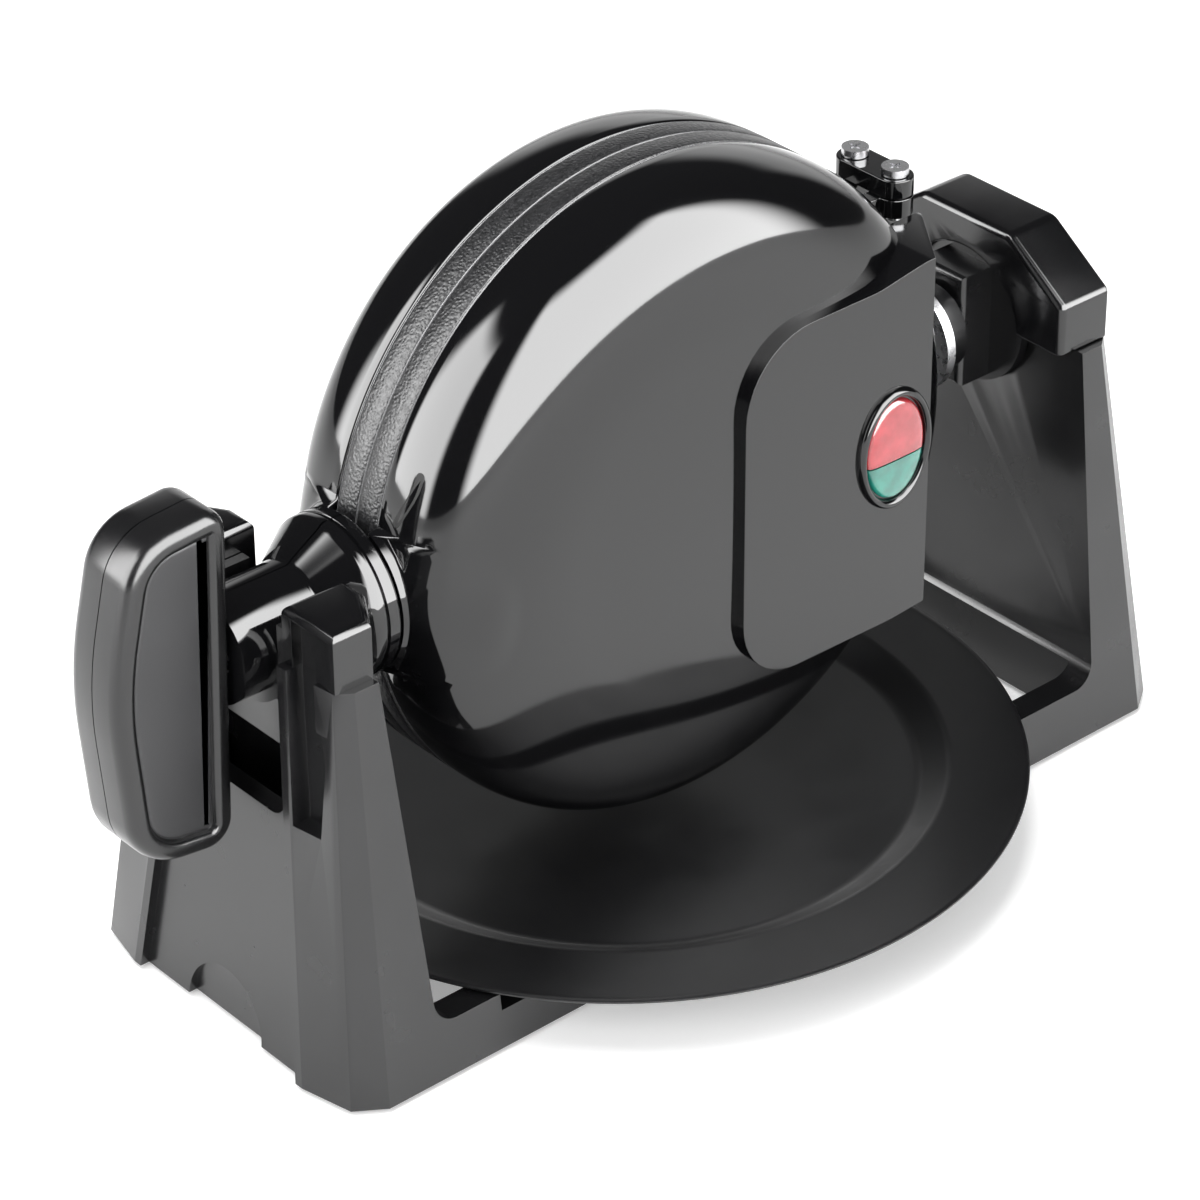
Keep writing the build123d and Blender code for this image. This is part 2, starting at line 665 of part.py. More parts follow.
plunger_top = AXIS_Z - SHAFT_R - PLUNGER_CREST
with BuildPart() as plunger:
    with BuildSketch(Plane.XY.offset(plunger_top - PLUNGER_LEN)):
        with Locations((PLUNGER_X, 0)):
            Circle(PLUNGER_R)
    extrude(amount=PLUNGER_LEN)
    fillet(plunger.edges().group_by(Axis.Z)[-1], PLUNGER_R / 3)
save(plunger, "detent_plunger")

with BuildPart() as plug:
    with BuildSketch(Plane.XY.offset(AXIS_Z - HOUSING_HALF_Z)):
        with Locations((PLUNGER_X, 0)):
            Circle(PLUNGER_R)
    extrude(amount=PLUG_LEN)
save(plug, "detent_plug")

spring_base = AXIS_Z - HOUSING_HALF_Z + PLUG_LEN
spring_len = plunger_top - PLUNGER_LEN - spring_base - 2 * SPRING_WIRE - RUN_CLEAR
with BuildPart() as spring:
    with BuildLine(Plane.XY.offset(spring_base + SPRING_WIRE + RUN_CLEAR / 2)) as coil:
        Helix(spring_len / SPRING_TURNS, spring_len, SPRING_R)
    with BuildSketch(Plane(origin=coil.line @ 0, z_dir=coil.line % 0)):
        Circle(SPRING_WIRE)
    sweep(is_frenet=True)
spring.part.position = (PLUNGER_X, 0, 0)
save(spring, "detent_spring")

with BuildPart() as shaft:
    with BuildSketch(cross_plane(FLANGE_X0)):
        Circle(FLANGE_R)
    extrude(amount=FLANGE_X1 - FLANGE_X0)
    with BuildSketch(cross_plane(FLANGE_X0)):
        Circle(SHAFT_R)
    extrude(amount=SHAFT_END_X - FLANGE_X0)
    with BuildSketch(cross_plane(FLANGE_X0)):
        Circle(SHAFT_BORE_R)
    extrude(amount=SHAFT_END_X - FLANGE_X0, mode=Mode.SUBTRACT)
    # Notches where the plunger holds the body level or upright
    for direction in ((0, 1, 0), (0, -1, 0), (0, 0, -1)):
        with BuildSketch(Plane(origin=(PLUNGER_X, 0, AXIS_Z), z_dir=direction).offset(SHAFT_R - NOTCH_DEPTH)):
            Circle(PLUNGER_R + SEAT_CLEAR)
        extrude(amount=SHAFT_R, mode=Mode.SUBTRACT)
    # Groove of the circlip
    with BuildSketch(cross_plane(HOUSING_X1 + CIRCLIP_GAP)):
        Circle(BUSH_R)
        Circle(SHAFT_R - CIRCLIP_T / 2, mode=Mode.SUBTRACT)
    extrude(amount=CIRCLIP_T, mode=Mode.SUBTRACT)
    with BuildSketch(cross_plane(FLANGE_X0 - 1)):
        with Locations(*[(YOKE_SCREW_Y, z) for z in (-YOKE_SCREW_Z, YOKE_SCREW_Z)]):
            Circle(SCREW_R + SEAT_CLEAR)
    extrude(amount=SHAFT_R, mode=Mode.SUBTRACT)
save(shaft, "hollow_shaft")

for name, x0, x1, outer in (
    ("shaft_collar", FLANGE_X1 + 2 * SCREW_FLAT_H, COLLAR_X1, COLLAR_R),
    ("thrust_washer", COLLAR_X1 + WASHER_GAP, HOUSING_X0 - WASHER_GAP, WASHER_R),
):
    with BuildPart() as ring:
        with BuildSketch(cross_plane(x0)):
            Circle(outer)
            Circle(SHAFT_R + RUN_CLEAR, mode=Mode.SUBTRACT)
        extrude(amount=x1 - x0)
        chamfer(ring.edges().filter_by(GeomType.CIRCLE).sort_by(SortBy.RADIUS)[-2:], WASHER_GAP)
    save(ring, name)

with BuildPart() as circlip:
    with BuildSketch(cross_plane(HOUSING_X1 + CIRCLIP_GAP + RUN_CLEAR)):
        Circle(BUSH_R)
        Circle(SHAFT_R - CIRCLIP_T / 2 + RUN_CLEAR, mode=Mode.SUBTRACT)
        with Locations((0, BUSH_R)):
            Rectangle(SHAFT_R, BUSH_R, mode=Mode.SUBTRACT)
    extrude(amount=CIRCLIP_T - 2 * RUN_CLEAR)
save(circlip, "shaft_circlip")

with BuildPart() as yoke_screw:
    with BuildSketch(cross_plane(FLANGE_X1)):
        Circle(SCREW_HEAD_R)
    extrude(amount=SCREW_FLAT_H)
    with BuildSketch(cross_plane(FLANGE_X0 - YOKE_DEPTH)):
        Circle(SCREW_R)
    extrude(amount=YOKE_DEPTH + FLANGE_X1 - FLANGE_X0)
group(
    "shaft_screws",
    yoke_screw.part,
    [Pos(0, YOKE_SCREW_Y, z) for z in (-YOKE_SCREW_Z, YOKE_SCREW_Z)],
)

# Drip tray

with BuildPart() as tray:
    with BuildSketch(Plane(origin=(TRAY_X, TRAY_Y, TRAY_RIM_Z), x_dir=(1, 0, 0), z_dir=(0, -1, 0))) as tray_profile:
        Polygon(
            (0, -TRAY_DEPTH),
            (TRAY_FLOOR_R, -TRAY_DEPTH),
            (TRAY_RIM_INNER, 0),
            (TRAY_R, 0),
            (TRAY_R, -TRAY_WALL),
            (TRAY_RIM_INNER + TRAY_WALL / 2, -TRAY_WALL),
            (TRAY_FLOOR_R + TRAY_WALL / 2, -TRAY_DEPTH - TRAY_WALL),
            (0, -TRAY_DEPTH - TRAY_WALL),
            align=None,
        )
        fillet(tray_profile.vertices().sort_by(Axis.X)[-2:], TRAY_WALL / 3)
    revolve(axis=Axis((TRAY_X, TRAY_Y, 0), (0, 0, 1)))
save(tray, "drip_tray")

# Both halves of the turning body

stud_places = [
    (i * STUD_PITCH, j * STUD_PITCH)
    for i in range(-8, 9)
    for j in range(-8, 9)
    if sqrt(i * i + j * j) * STUD_PITCH < STUD_FIELD_R - STUD / 2
]
for side, word in ((1, "back"), (-1, "front")):
    plane = face_plane(0) if side < 0 else Plane(origin=(0, 0, AXIS_Z), x_dir=(1, 0, 0), z_dir=(0, 1, 0))
    centre = (BODY_X, 0)

    with BuildPart() as band:
        with BuildSketch(profile(side)) as band_profile:
            Polygon(
                (BAND_INNER_R, PART_GAP / 2),
                (SEAM_R, PART_GAP / 2),
                (SEAM_R, BAND_D),
                (BAND_INNER_R, BAND_D),
                align=None,
            )
            chamfer(band_profile.vertices().sort_by(Axis.X)[-2:], PART_GAP * 2)
        revolve(axis=axis_body)
        with BuildSketch(cross_plane(BODY_X - BIG)):
            Circle(CORE_R + CORE_CLEAR)
        extrude(amount=BIG, mode=Mode.SUBTRACT)
        for z in (-1, 1):
            with Locations((
                ARM_START_X + BIG / 2,
                side * (ARM_D0 + ARM_D1) / 2,
                AXIS_Z + z * (BRACKET_Z0 + BRACKET_Z1) / 2,
            )):
                Box(BIG, ARM_D1 - ARM_D0 + 2 * SEAT_CLEAR, BRACKET_Z1 - BRACKET_Z0 + 2 * SEAT_CLEAR,
                    mode=Mode.SUBTRACT)
        if side < 0:
            with Locations((LID_END_X + BIG / 2, 0, AXIS_Z)):
                Box(BIG, BIG, BIG, mode=Mode.SUBTRACT)
    save(band, f"{word}_band")

    with BuildPart() as waffle:
        with BuildSketch(profile(side)):
            Polygon(
                (0, PLATE_FLOOR_D),
                (PLATE_RIM_R, PLATE_FLOOR_D),
                (PLATE_RIM_R, PLATE_LAND_D),
                (PLATE_R, PLATE_LAND_D),
                (PLATE_R, PLATE_BACK_D),
                (0, PLATE_BACK_D),
                align=None,
            )
        revolve(axis=axis_body)
        with BuildSketch(plane.offset(STUD_TOP_D)):
            with Locations(*[(BODY_X + x, z) for x, z in stud_places]):
                Rectangle(STUD, STUD)
        extrude(amount=PLATE_FLOOR_D - STUD_TOP_D, taper=-STUD_TAPER)
        with BuildSketch(plane.offset(PLATE_BACK_D - SCREW_BITE)):
            with Locations(centre):
                with PolarLocations(PAN_SCREW_R, 4, start_angle=PAN_SCREW_ANGLE):
                    Circle(SCREW_R + SEAT_CLEAR)
        extrude(amount=PLATE_BACK_D, mode=Mode.SUBTRACT)
        with BuildSketch(cross_plane(BODY_X - BIG)):
            Circle(CORE_R + CORE_CLEAR)
        extrude(amount=BIG - PLATE_RIM_R, mode=Mode.SUBTRACT)
    save(waffle, f"{word}_waffle_plate")

    heater_d = PLATE_BACK_D + HEATER_TUBE_R + SEAT_CLEAR
    with BuildPart() as heater:
        with BuildLine(plane.offset(heater_d)) as heater_path:
            CenterArc(centre, HEATER_R, HEATER_GAP_ANGLE, 360 - 2 * HEATER_GAP_ANGLE)
        with BuildSketch(Plane(origin=heater_path.line @ 0, z_dir=heater_path.line % 0)):
            Circle(HEATER_TUBE_R)
        sweep()
        with BuildSketch(plane.offset(heater_d)):
            for end in (-1, 1):
                with Locations((
                    BODY_X + HEATER_R * cos(radians(HEATER_GAP_ANGLE)),
                    end * HEATER_R * sin(radians(HEATER_GAP_ANGLE)),
                )):
                    Circle(HEATER_TUBE_R * TERMINAL_RATIO)
        extrude(amount=HEATER_LEG)
    save(heater, f"{word}_element")

    with BuildPart() as pan:
        with BuildSketch(profile(side)):
            Polygon(
                (PAN_HOLE_R, PAN_FLOOR_D),
                (PAN_R - PAN_WALL, PAN_FLOOR_D),
                (PAN_R - PAN_WALL, PLATE_BACK_D + SEAT_CLEAR),
                (PAN_R, PLATE_BACK_D + SEAT_CLEAR),
                (PAN_R, PAN_FLOOR_D + PAN_WALL),
                (PAN_HOLE_R, PAN_FLOOR_D + PAN_WALL),
                align=None,
            )
        revolve(axis=axis_body)
        with BuildSketch(plane.offset(PLATE_BACK_D)):
            with Locations(centre):
                with PolarLocations(PAN_SCREW_R, 4, start_angle=PAN_SCREW_ANGLE):
                    Circle(SCREW_R + SEAT_CLEAR)
            for end in (-1, 1):
                with Locations((
                    BODY_X + HEATER_R * cos(radians(HEATER_GAP_ANGLE)),
                    end * HEATER_R * sin(radians(HEATER_GAP_ANGLE)),
                )):
                    Circle(HEATER_TUBE_R)
        extrude(amount=PAN_FLOOR_D, mode=Mode.SUBTRACT)
    save(pan, f"{word}_reflector")

    with BuildPart() as pan_screws:
        with BuildSketch(plane.offset(PAN_FLOOR_D + PAN_WALL)):
            with Locations(centre):
                with PolarLocations(PAN_SCREW_R, 4, start_angle=PAN_SCREW_ANGLE):
                    Circle(SCREW_HEAD_R)
        extrude(amount=SCREW_HEAD_H)
        with BuildSketch(plane.offset(PLATE_BACK_D - SCREW_BITE + SEAT_CLEAR)):
            with Locations(centre):
                with PolarLocations(PAN_SCREW_R, 4, start_angle=PAN_SCREW_ANGLE):
                    Circle(SCREW_R)
        extrude(amount=PAN_FLOOR_D + PAN_WALL - PLATE_BACK_D + SCREW_BITE - SEAT_CLEAR)
    save(pan_screws, f"{word}_plate_screws")

    # Hinge brackets, one above and one below
    with BuildPart() as bracket:
        with BuildSketch(Plane.XY.offset(BRACKET_Z0)):
            with Locations((PIN_X, side * PIN_D)):
                Circle(KNUCKLE_R)
            with Locations(((ARM_START_X + PIN_X) / 2, side * (ARM_D0 + ARM_D1) / 2)):
                Rectangle(PIN_X - ARM_START_X, ARM_D1 - ARM_D0)
            with Locations((PIN_X, side * PIN_D)):
                Circle(PIN_R + SEAT_CLEAR, mode=Mode.SUBTRACT)
        extrude(amount=BRACKET_Z1 - BRACKET_Z0)
    pin_start = BRACKET_Z0 - PIN_HEAD_Z1 + PIN_HEAD_Z0
    with BuildPart() as pin:
        with BuildSketch(Plane.XY.offset(pin_start)):
            with Locations((PIN_X, side * PIN_D)):
                Circle(PIN_R)
        extrude(amount=PIN_HEAD_Z0 - pin_start)
        with BuildSketch(Plane.XY.offset(PIN_HEAD_Z0)):
            with Locations((PIN_X, side * PIN_D)):
                Circle(PIN_HEAD_R)
        extrude(amount=PIN_HEAD_Z1 - PIN_HEAD_Z0)
        with BuildSketch(Plane.XY.offset(PIN_HEAD_Z1 - SCREW_R / 2)):
            with Locations((PIN_X, side * PIN_D)):
                Rectangle(PIN_HEAD_R, SCREW_R / 2)
                Rectangle(SCREW_R / 2, PIN_HEAD_R)
        extrude(amount=SCREW_R, mode=Mode.SUBTRACT)
    for piece, name in ((bracket, f"{word}_hinge_brackets"), (pin, f"{word}_hinge_pins")):
        with BuildPart() as pair:
            add(Pos(0, 0, AXIS_Z) * piece.part)
            add(mirror(Pos(0, 0, AXIS_Z) * piece.part, about=Plane.XY.offset(AXIS_Z), mode=Mode.PRIVATE))
        save(pair, name)

with BuildPart() as link:
    with BuildSketch(Plane.XY.offset(LINK_Z0)):
        with Locations((PIN_X, -PIN_D), (PIN_X, PIN_D)):
            Circle(KNUCKLE_R)
        with Locations((PIN_X, 0)):
            Rectangle(2 * KNUCKLE_R, 2 * PIN_D)
        with Locations((PIN_X, -PIN_D), (PIN_X, PIN_D)):
            Circle(PIN_R + RUN_CLEAR, mode=Mode.SUBTRACT)
    extrude(amount=LINK_Z1 - LINK_Z0)
with BuildPart() as links:
    add(Pos(0, 0, AXIS_Z) * link.part)
    add(mirror(Pos(0, 0, AXIS_Z) * link.part, about=Plane.XY.offset(AXIS_Z), mode=Mode.PRIVATE))
save(links, "hinge_links")

# Covers

with BuildPart() as back_cover:
    add(dome(1))
    add(flare())
    with Locations((FLANGE_X0 - YOKE_LEN / 2, COVER_START + YOKE_DEPTH / 2, AXIS_Z)):
        Box(YOKE_LEN, YOKE_DEPTH, 2 * YOKE_HALF_Z)
    with Locations((0, COVER_START - BIG / 2, AXIS_Z)):
        Box(BIG * 2, BIG, BIG, mode=Mode.SUBTRACT)
    add(dome(1, inset=COVER_WALL), mode=Mode.SUBTRACT)
    with BuildSketch(cross_plane(BODY_X - BIG)):
        Circle(FLARE_R1 - COVER_WALL)
    extrude(amount=BIG - COVER_R, mode=Mode.SUBTRACT)
    with BuildSketch(cross_plane(FLANGE_X0 - YOKE_DEPTH - SEAT_CLEAR)):
        with Locations(*[(YOKE_SCREW_Y, z) for z in (-YOKE_SCREW_Z, YOKE_SCREW_Z)]):
            Circle(SCREW_R + SEAT_CLEAR)
    extrude(amount=BIG, mode=Mode.SUBTRACT)
save(back_cover, "back_cover")

with BuildPart() as front_cover:
    add(dome(-1))
    add(flare())
    with Locations((0, -COVER_START + BIG / 2, AXIS_Z)):
        Box(BIG * 2, BIG, BIG, mode=Mode.SUBTRACT)
    add(dome(-1, inset=COVER_WALL), mode=Mode.SUBTRACT)
    with BuildSketch(cross_plane(BODY_X - BIG)):
        Circle(FLARE_R1 - COVER_WALL)
    extrude(amount=BIG - COVER_R, mode=Mode.SUBTRACT)
    with Locations((LID_END_X + BIG / 2, 0, AXIS_Z)):
        Box(BIG, BIG, BIG, mode=Mode.SUBTRACT)
    with BuildSketch(face_plane(LENS_BACK_D - LENS_GAP)):
        with Locations((LAMP_X, 0)):
            Ellipse(LENS_A + LENS_GAP, LENS_B + LENS_GAP)
    extrude(amount=DOME_D, mode=Mode.SUBTRACT)
save(front_cover, "front_cover")

dome_cut = dome(-1, extra=PANEL_FIT)
with BuildPart() as panel:
    with BuildSketch(face_plane(PANEL_BACK_D)) as panel_outline:
        Rectangle(PANEL_END_X - PANEL_LEFT, 2 * PANEL_HALF_Z, align=(Align.MIN, Align.CENTER))
    extrude(amount=PANEL_D - PANEL_BACK_D)
    panel_left = panel.edges().filter_by(Axis.Y).group_by(Axis.X)[0].sort_by(Axis.Z)
    fillet(panel_left[0], PANEL_LOW_R)
    fillet(panel.edges().filter_by(Axis.Y).group_by(Axis.X)[0].sort_by(Axis.Z)[-1], PANEL_TOP_R)
    with BuildSketch(Plane.XY.offset(0)) as end_slope:
        Polygon(
            (PANEL_FACE_RIGHT, -PANEL_D),
            (PANEL_END_X, -PANEL_END_D),
            (PANEL_END_X + BIG, -PANEL_END_D),
            (PANEL_END_X + BIG, -BIG),
            (PANEL_FACE_RIGHT, -BIG),
            align=None,
        )
    extrude(amount=BIG, mode=Mode.SUBTRACT)
    fillet(panel.faces().sort_by(Axis.Y)[0].edges(), PANEL_EDGE_R)
    add(dome_cut, mode=Mode.SUBTRACT)
    # Room for the barrels of the lid's hinge brackets
    for way in (-1, 1):
        with Locations((PIN_X, -PIN_D, AXIS_Z + way * (BRACKET_Z0 + BIG / 2 - PANEL_FIT))):
            Cylinder(KNUCKLE_R + PANEL_FIT, BIG, mode=Mode.SUBTRACT)
    with BuildSketch(face_plane(BEZEL_BACK_D - LENS_GAP)):
        with Locations((LAMP_X, 0)):
            Ellipse(BEZEL_A + LENS_GAP, BEZEL_B + LENS_GAP)
    extrude(amount=DOME_D, mode=Mode.SUBTRACT)
    with BuildSketch(face_plane(LENS_BACK_D)):
        with Locations((LAMP_X, 0)):
            Ellipse(LENS_A + LENS_GAP, LENS_B + LENS_GAP)
    extrude(amount=DOME_D, mode=Mode.SUBTRACT)
save(panel, "cover_panel")

with BuildPart() as bezel:
    with BuildSketch(face_plane(BEZEL_BACK_D)):
        with Locations((LAMP_X, 0)):
            Ellipse(BEZEL_A, BEZEL_B)
            Ellipse(LENS_A + LENS_GAP, LENS_B + LENS_GAP, mode=Mode.SUBTRACT)
    extrude(amount=BEZEL_TOP_D - BEZEL_BACK_D)
    fillet(bezel.faces().sort_by(Axis.Y)[0].edges(), (BEZEL_A - LENS_A) / 4)
save(bezel, "lamp_bezel")

for name, way in (("red_lens", 1), ("green_lens", -1)):
    with BuildPart() as lens:
        with BuildSketch(face_plane(LENS_BACK_D)):
            with Locations((LAMP_X, 0)):
                Ellipse(LENS_A, LENS_B)
            with Locations((LAMP_X, LENS_SPLIT + way * (LENS_GAP - BIG) / 2)):
                Rectangle(BIG, BIG, mode=Mode.SUBTRACT)
        extrude(amount=LENS_TOP_D - LENS_BACK_D)
        fillet(lens.faces().sort_by(Axis.Y)[0].edges(), LENS_ROUND)
    save(lens, name)

with BuildPart() as lamp_board:
    with BuildSketch(face_plane(LENS_BACK_D - BOARD_GAP - BOARD_T)):
        with Locations((LAMP_X, 0)):
            Rectangle(2 * LENS_A + BOARD_T, 2 * LENS_B + BOARD_T)
    extrude(amount=BOARD_T)
    with BuildSketch(face_plane(LENS_BACK_D - BOARD_GAP)):
        with Locations((LAMP_X, LENS_B / 2 + LENS_SPLIT / 2), (LAMP_X, LENS_SPLIT - LENS_B / 2)):
            Circle(BOARD_T)
    extrude(amount=BOARD_GAP - LENS_GAP)
save(lamp_board, "lamp_board")

# Thermostat and fuse in the back half

back_plane = Plane(origin=(0, 0, AXIS_Z), x_dir=(1, 0, 0), z_dir=(0, 1, 0))
with BuildPart() as thermostat:
    with BuildSketch(back_plane.offset(PLATE_BACK_D + SEAT_CLEAR)):
        with Locations((BODY_X, 0)):
            Circle(THERMOSTAT_R)
    extrude(amount=THERMOSTAT_H)
    with BuildSketch(back_plane.offset(PLATE_BACK_D + SEAT_CLEAR + THERMOSTAT_H)):
        with Locations((BODY_X - THERMOSTAT_R / 2, 0), (BODY_X + THERMOSTAT_R / 2, 0)):
            Rectangle(SCREW_R / 2, THERMOSTAT_R / 2)
    extrude(amount=THERMOSTAT_H / 2)
save(thermostat, "thermostat")

with BuildPart() as fuse:
    with BuildSketch(cross_plane(BODY_X - FUSE_LEN / 2)):
        with Locations((PAN_FLOOR_D + PAN_WALL + FUSE_R + SEAT_CLEAR, FUSE_Z)):
            Circle(FUSE_R)
    extrude(amount=FUSE_LEN)
save(fuse, "thermal_fuse")

with BuildPart() as heater_leads:
    with BuildSketch(cross_plane(BODY_X + HEATER_R + FUSE_R)):
        with Locations((PAN_FLOOR_D + PAN_WALL + LEAD_R + SEAT_CLEAR, 0)):
            Circle(LEAD_R)
    extrude(amount=INNER_LEAD_LEN)
save(heater_leads, "heater_leads")

# Neck

neck_points = [
    (BULGE_X0, 0),
    (BULGE_X0, BULGE_R),
    (BULGE_X1, BULGE_R),
    (JOURNAL_X0, JOURNAL_R),
    (NECK_END_X, JOURNAL_R),
    (NECK_END_X, 0),
]
for side, word in ((1, "back"), (-1, "front")):
    with BuildPart() as neck:
        with BuildSketch(along_profile) as neck_profile:
            Polygon(*neck_points, align=None)
        revolve(axis=axis_x)
        with BuildSketch(cross_plane(NECK_END_X)):
            Circle(CORE_R + SEAT_CLEAR)
        extrude(amount=BIG, mode=Mode.SUBTRACT)
        with Locations((0, -side * (BIG / 2 - PART_GAP / 2), AXIS_Z)):
            Box(BIG * 2, BIG, BIG, mode=Mode.SUBTRACT)
    save(neck, f"neck_{word}_shell")

with BuildPart() as core:
    with BuildSketch(cross_plane(CORE_END_X)):
        Circle(CORE_R)
        Circle(CORE_R - COVER_WALL, mode=Mode.SUBTRACT)
    extrude(amount=CORE_START_X - CORE_END_X)
save(core, "neck_core")

# Handle

for side, word in ((1, "back"), (-1, "front")):
    plane = Plane.XZ.offset(PART_GAP / 2) if side < 0 else Plane(
        origin=(0, PART_GAP / 2, 0), x_dir=(1, 0, 0), z_dir=(0, 1, 0)
    )
    with BuildPart() as grip:
        with BuildSketch(Plane.XZ) as grip_outline:
            with BuildLine(Plane.XZ):
                Polyline(
                    (HANDLE_LEFT_X + HANDLE_SAG, AXIS_Z - HANDLE_HALF_Z),
                    (HANDLE_RIGHT_X, AXIS_Z - HANDLE_HALF_Z),
                    (HANDLE_RIGHT_X, AXIS_Z + HANDLE_HALF_Z),
                    (HANDLE_LEFT_X + HANDLE_SAG, AXIS_Z + HANDLE_HALF_Z),
                )
                ThreePointArc(
                    (HANDLE_LEFT_X + HANDLE_SAG, AXIS_Z + HANDLE_HALF_Z),
                    (HANDLE_LEFT_X, AXIS_Z),
                    (HANDLE_LEFT_X + HANDLE_SAG, AXIS_Z - HANDLE_HALF_Z),
                )
            make_face()
            fillet(grip_outline.vertices().group_by(Axis.X)[0], HANDLE_R_OUT)
            fillet(grip_outline.vertices().group_by(Axis.X)[-1], HANDLE_R_IN)
        extrude(amount=-side * HANDLE_HALF_Y)
        outer_face = grip.faces().sort_by(Axis.Y)[0 if side < 0 else -1]
        fillet(outer_face.edges(), HANDLE_EDGE_R)
        with Locations((0, -side * (BIG / 2 - PART_GAP / 2), AXIS_Z)):
            Box(BIG * 2, BIG, BIG, mode=Mode.SUBTRACT)
        with BuildSketch(Plane.XZ.offset(-side * (HANDLE_HALF_Y - INLAY_DEPTH))):
            offset(grip_outline.sketch, amount=-INLAY_MARGIN)
        extrude(amount=-side * HANDLE_HALF_Y, mode=Mode.SUBTRACT)
        with BuildSketch(cross_plane(CORE_END_X - SEAT_CLEAR)):
            Circle(CORE_R + SEAT_CLEAR)
        extrude(amount=BIG, mode=Mode.SUBTRACT)
        with BuildSketch(Plane.XZ.offset(HANDLE_HALF_Y)):
            with Locations(*[(HANDLE_SCREW_X, AXIS_Z + z) for z in (-HANDLE_SCREW_Z, HANDLE_SCREW_Z)]):
                Circle(SCREW_R + SEAT_CLEAR)
        if side > 0:
            extrude(amount=-2 * HANDLE_HALF_Y, mode=Mode.SUBTRACT)
        else:
            extrude(amount=-HANDLE_HALF_Y * 2 + INLAY_DEPTH * 2, mode=Mode.SUBTRACT)
    save(grip, f"handle_{word}_shell")
    with BuildPart() as inlay:
        with BuildSketch(Plane.XZ.offset(-side * (HANDLE_HALF_Y - INLAY_DEPTH))):
            offset(grip_outline.sketch, amount=-INLAY_MARGIN - INLAY_GAP)
        extrude(amount=-side * (INLAY_DEPTH - INLAY_GAP))
    save(inlay, f"handle_{word}_inlay")
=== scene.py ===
"""Rotating waffle maker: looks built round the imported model, in metres, +X along the turning axis."""

import json
from math import cos, pi, radians, sin, sqrt, tan

import bmesh
import bpy
import numpy as np
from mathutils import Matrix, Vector

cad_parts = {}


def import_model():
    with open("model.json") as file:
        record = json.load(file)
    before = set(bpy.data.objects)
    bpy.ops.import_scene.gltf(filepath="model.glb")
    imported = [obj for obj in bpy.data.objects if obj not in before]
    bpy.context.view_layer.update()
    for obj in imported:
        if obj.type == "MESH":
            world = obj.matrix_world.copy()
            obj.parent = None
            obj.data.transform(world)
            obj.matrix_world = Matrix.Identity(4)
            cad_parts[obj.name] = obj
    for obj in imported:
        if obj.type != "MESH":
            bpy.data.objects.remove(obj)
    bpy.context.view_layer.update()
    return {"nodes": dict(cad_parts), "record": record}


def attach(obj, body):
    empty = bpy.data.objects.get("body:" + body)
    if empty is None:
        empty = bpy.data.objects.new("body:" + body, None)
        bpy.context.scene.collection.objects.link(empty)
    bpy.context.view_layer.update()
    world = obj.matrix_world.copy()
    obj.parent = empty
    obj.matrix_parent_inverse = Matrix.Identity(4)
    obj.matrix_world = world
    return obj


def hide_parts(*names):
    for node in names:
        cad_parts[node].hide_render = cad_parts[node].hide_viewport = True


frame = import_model()

MM = 0.001
AXIS_Z = 133.5  # millimetres, as in the part's source
BODY_X = -8.0
AXIS = (0.0, 0.0, AXIS_Z)
CENTRE = (BODY_X, 0.0, AXIS_Z)


# Camera


CAMERA_AZIMUTH = radians(-41.522)  # from the front, positive towards the bearing
CAMERA_ELEVATION = radians(31.33)
CAMERA_DISTANCE = 1.42202  # metres
CAMERA_TARGET = Vector((0, 0, 0.110))
CAMERA_LENS = 137.16
CAMERA_SHIFT = (-0.0394, -0.0677)


def add_camera():
    az, el = CAMERA_AZIMUTH, CAMERA_ELEVATION
    back = Vector((sin(az) * cos(el), -cos(az) * cos(el), sin(el)))
    data = bpy.data.cameras.new("camera")
    data.sensor_width = 36.0
    data.lens = CAMERA_LENS
    data.shift_x, data.shift_y = CAMERA_SHIFT
    data.clip_end = 100.0
    camera = bpy.data.objects.new("camera", data)
    camera.location = CAMERA_TARGET + back * CAMERA_DISTANCE
    camera.rotation_euler = back.to_track_quat("Z", "Y").to_euler()
    bpy.context.scene.collection.objects.link(camera)
    bpy.context.scene.camera = camera


add_camera()


# Materials


def new_material(name, color, rough, spec=0.5, coat=0.0, coat_rough=0.05, metal=0.0):
    material = bpy.data.materials.new(name)
    material.use_nodes = True
    shader = material.node_tree.nodes["Principled BSDF"]
    shader.inputs["Base Color"].default_value = (*color, 1.0)
    shader.inputs["Roughness"].default_value = rough
    shader.inputs["Specular IOR Level"].default_value = spec
    shader.inputs["Coat Weight"].default_value = coat
    shader.inputs["Coat Roughness"].default_value = coat_rough
    shader.inputs["Metallic"].default_value = metal
    return material, shader


def coordinates(material):
    node = material.node_tree.nodes.new("ShaderNodeTexCoord")
    return node.outputs["Object"]


def noise(material, scale, detail=3.0, roughness=0.5):
    node = material.node_tree.nodes.new("ShaderNodeTexNoise")
    node.inputs["Scale"].default_value = scale
    node.inputs["Detail"].default_value = detail
    node.inputs["Roughness"].default_value = roughness
    material.node_tree.links.new(coordinates(material), node.inputs["Vector"])
    return node.outputs["Fac"]


def cells(material, scale, feature="F1"):
    node = material.node_tree.nodes.new("ShaderNodeTexVoronoi")
    node.feature = feature
    node.inputs["Scale"].default_value = scale
    material.node_tree.links.new(coordinates(material), node.inputs["Vector"])
    return node.outputs["Distance"]


def spread(material, value, low, high, to_low, to_high):
    node = material.node_tree.nodes.new("ShaderNodeMapRange")
    for key, number in (("From Min", low), ("From Max", high), ("To Min", to_low), ("To Max", to_high)):
        node.inputs[key].default_value = number
    material.node_tree.links.new(value, node.inputs["Value"])
    return node.outputs["Result"]


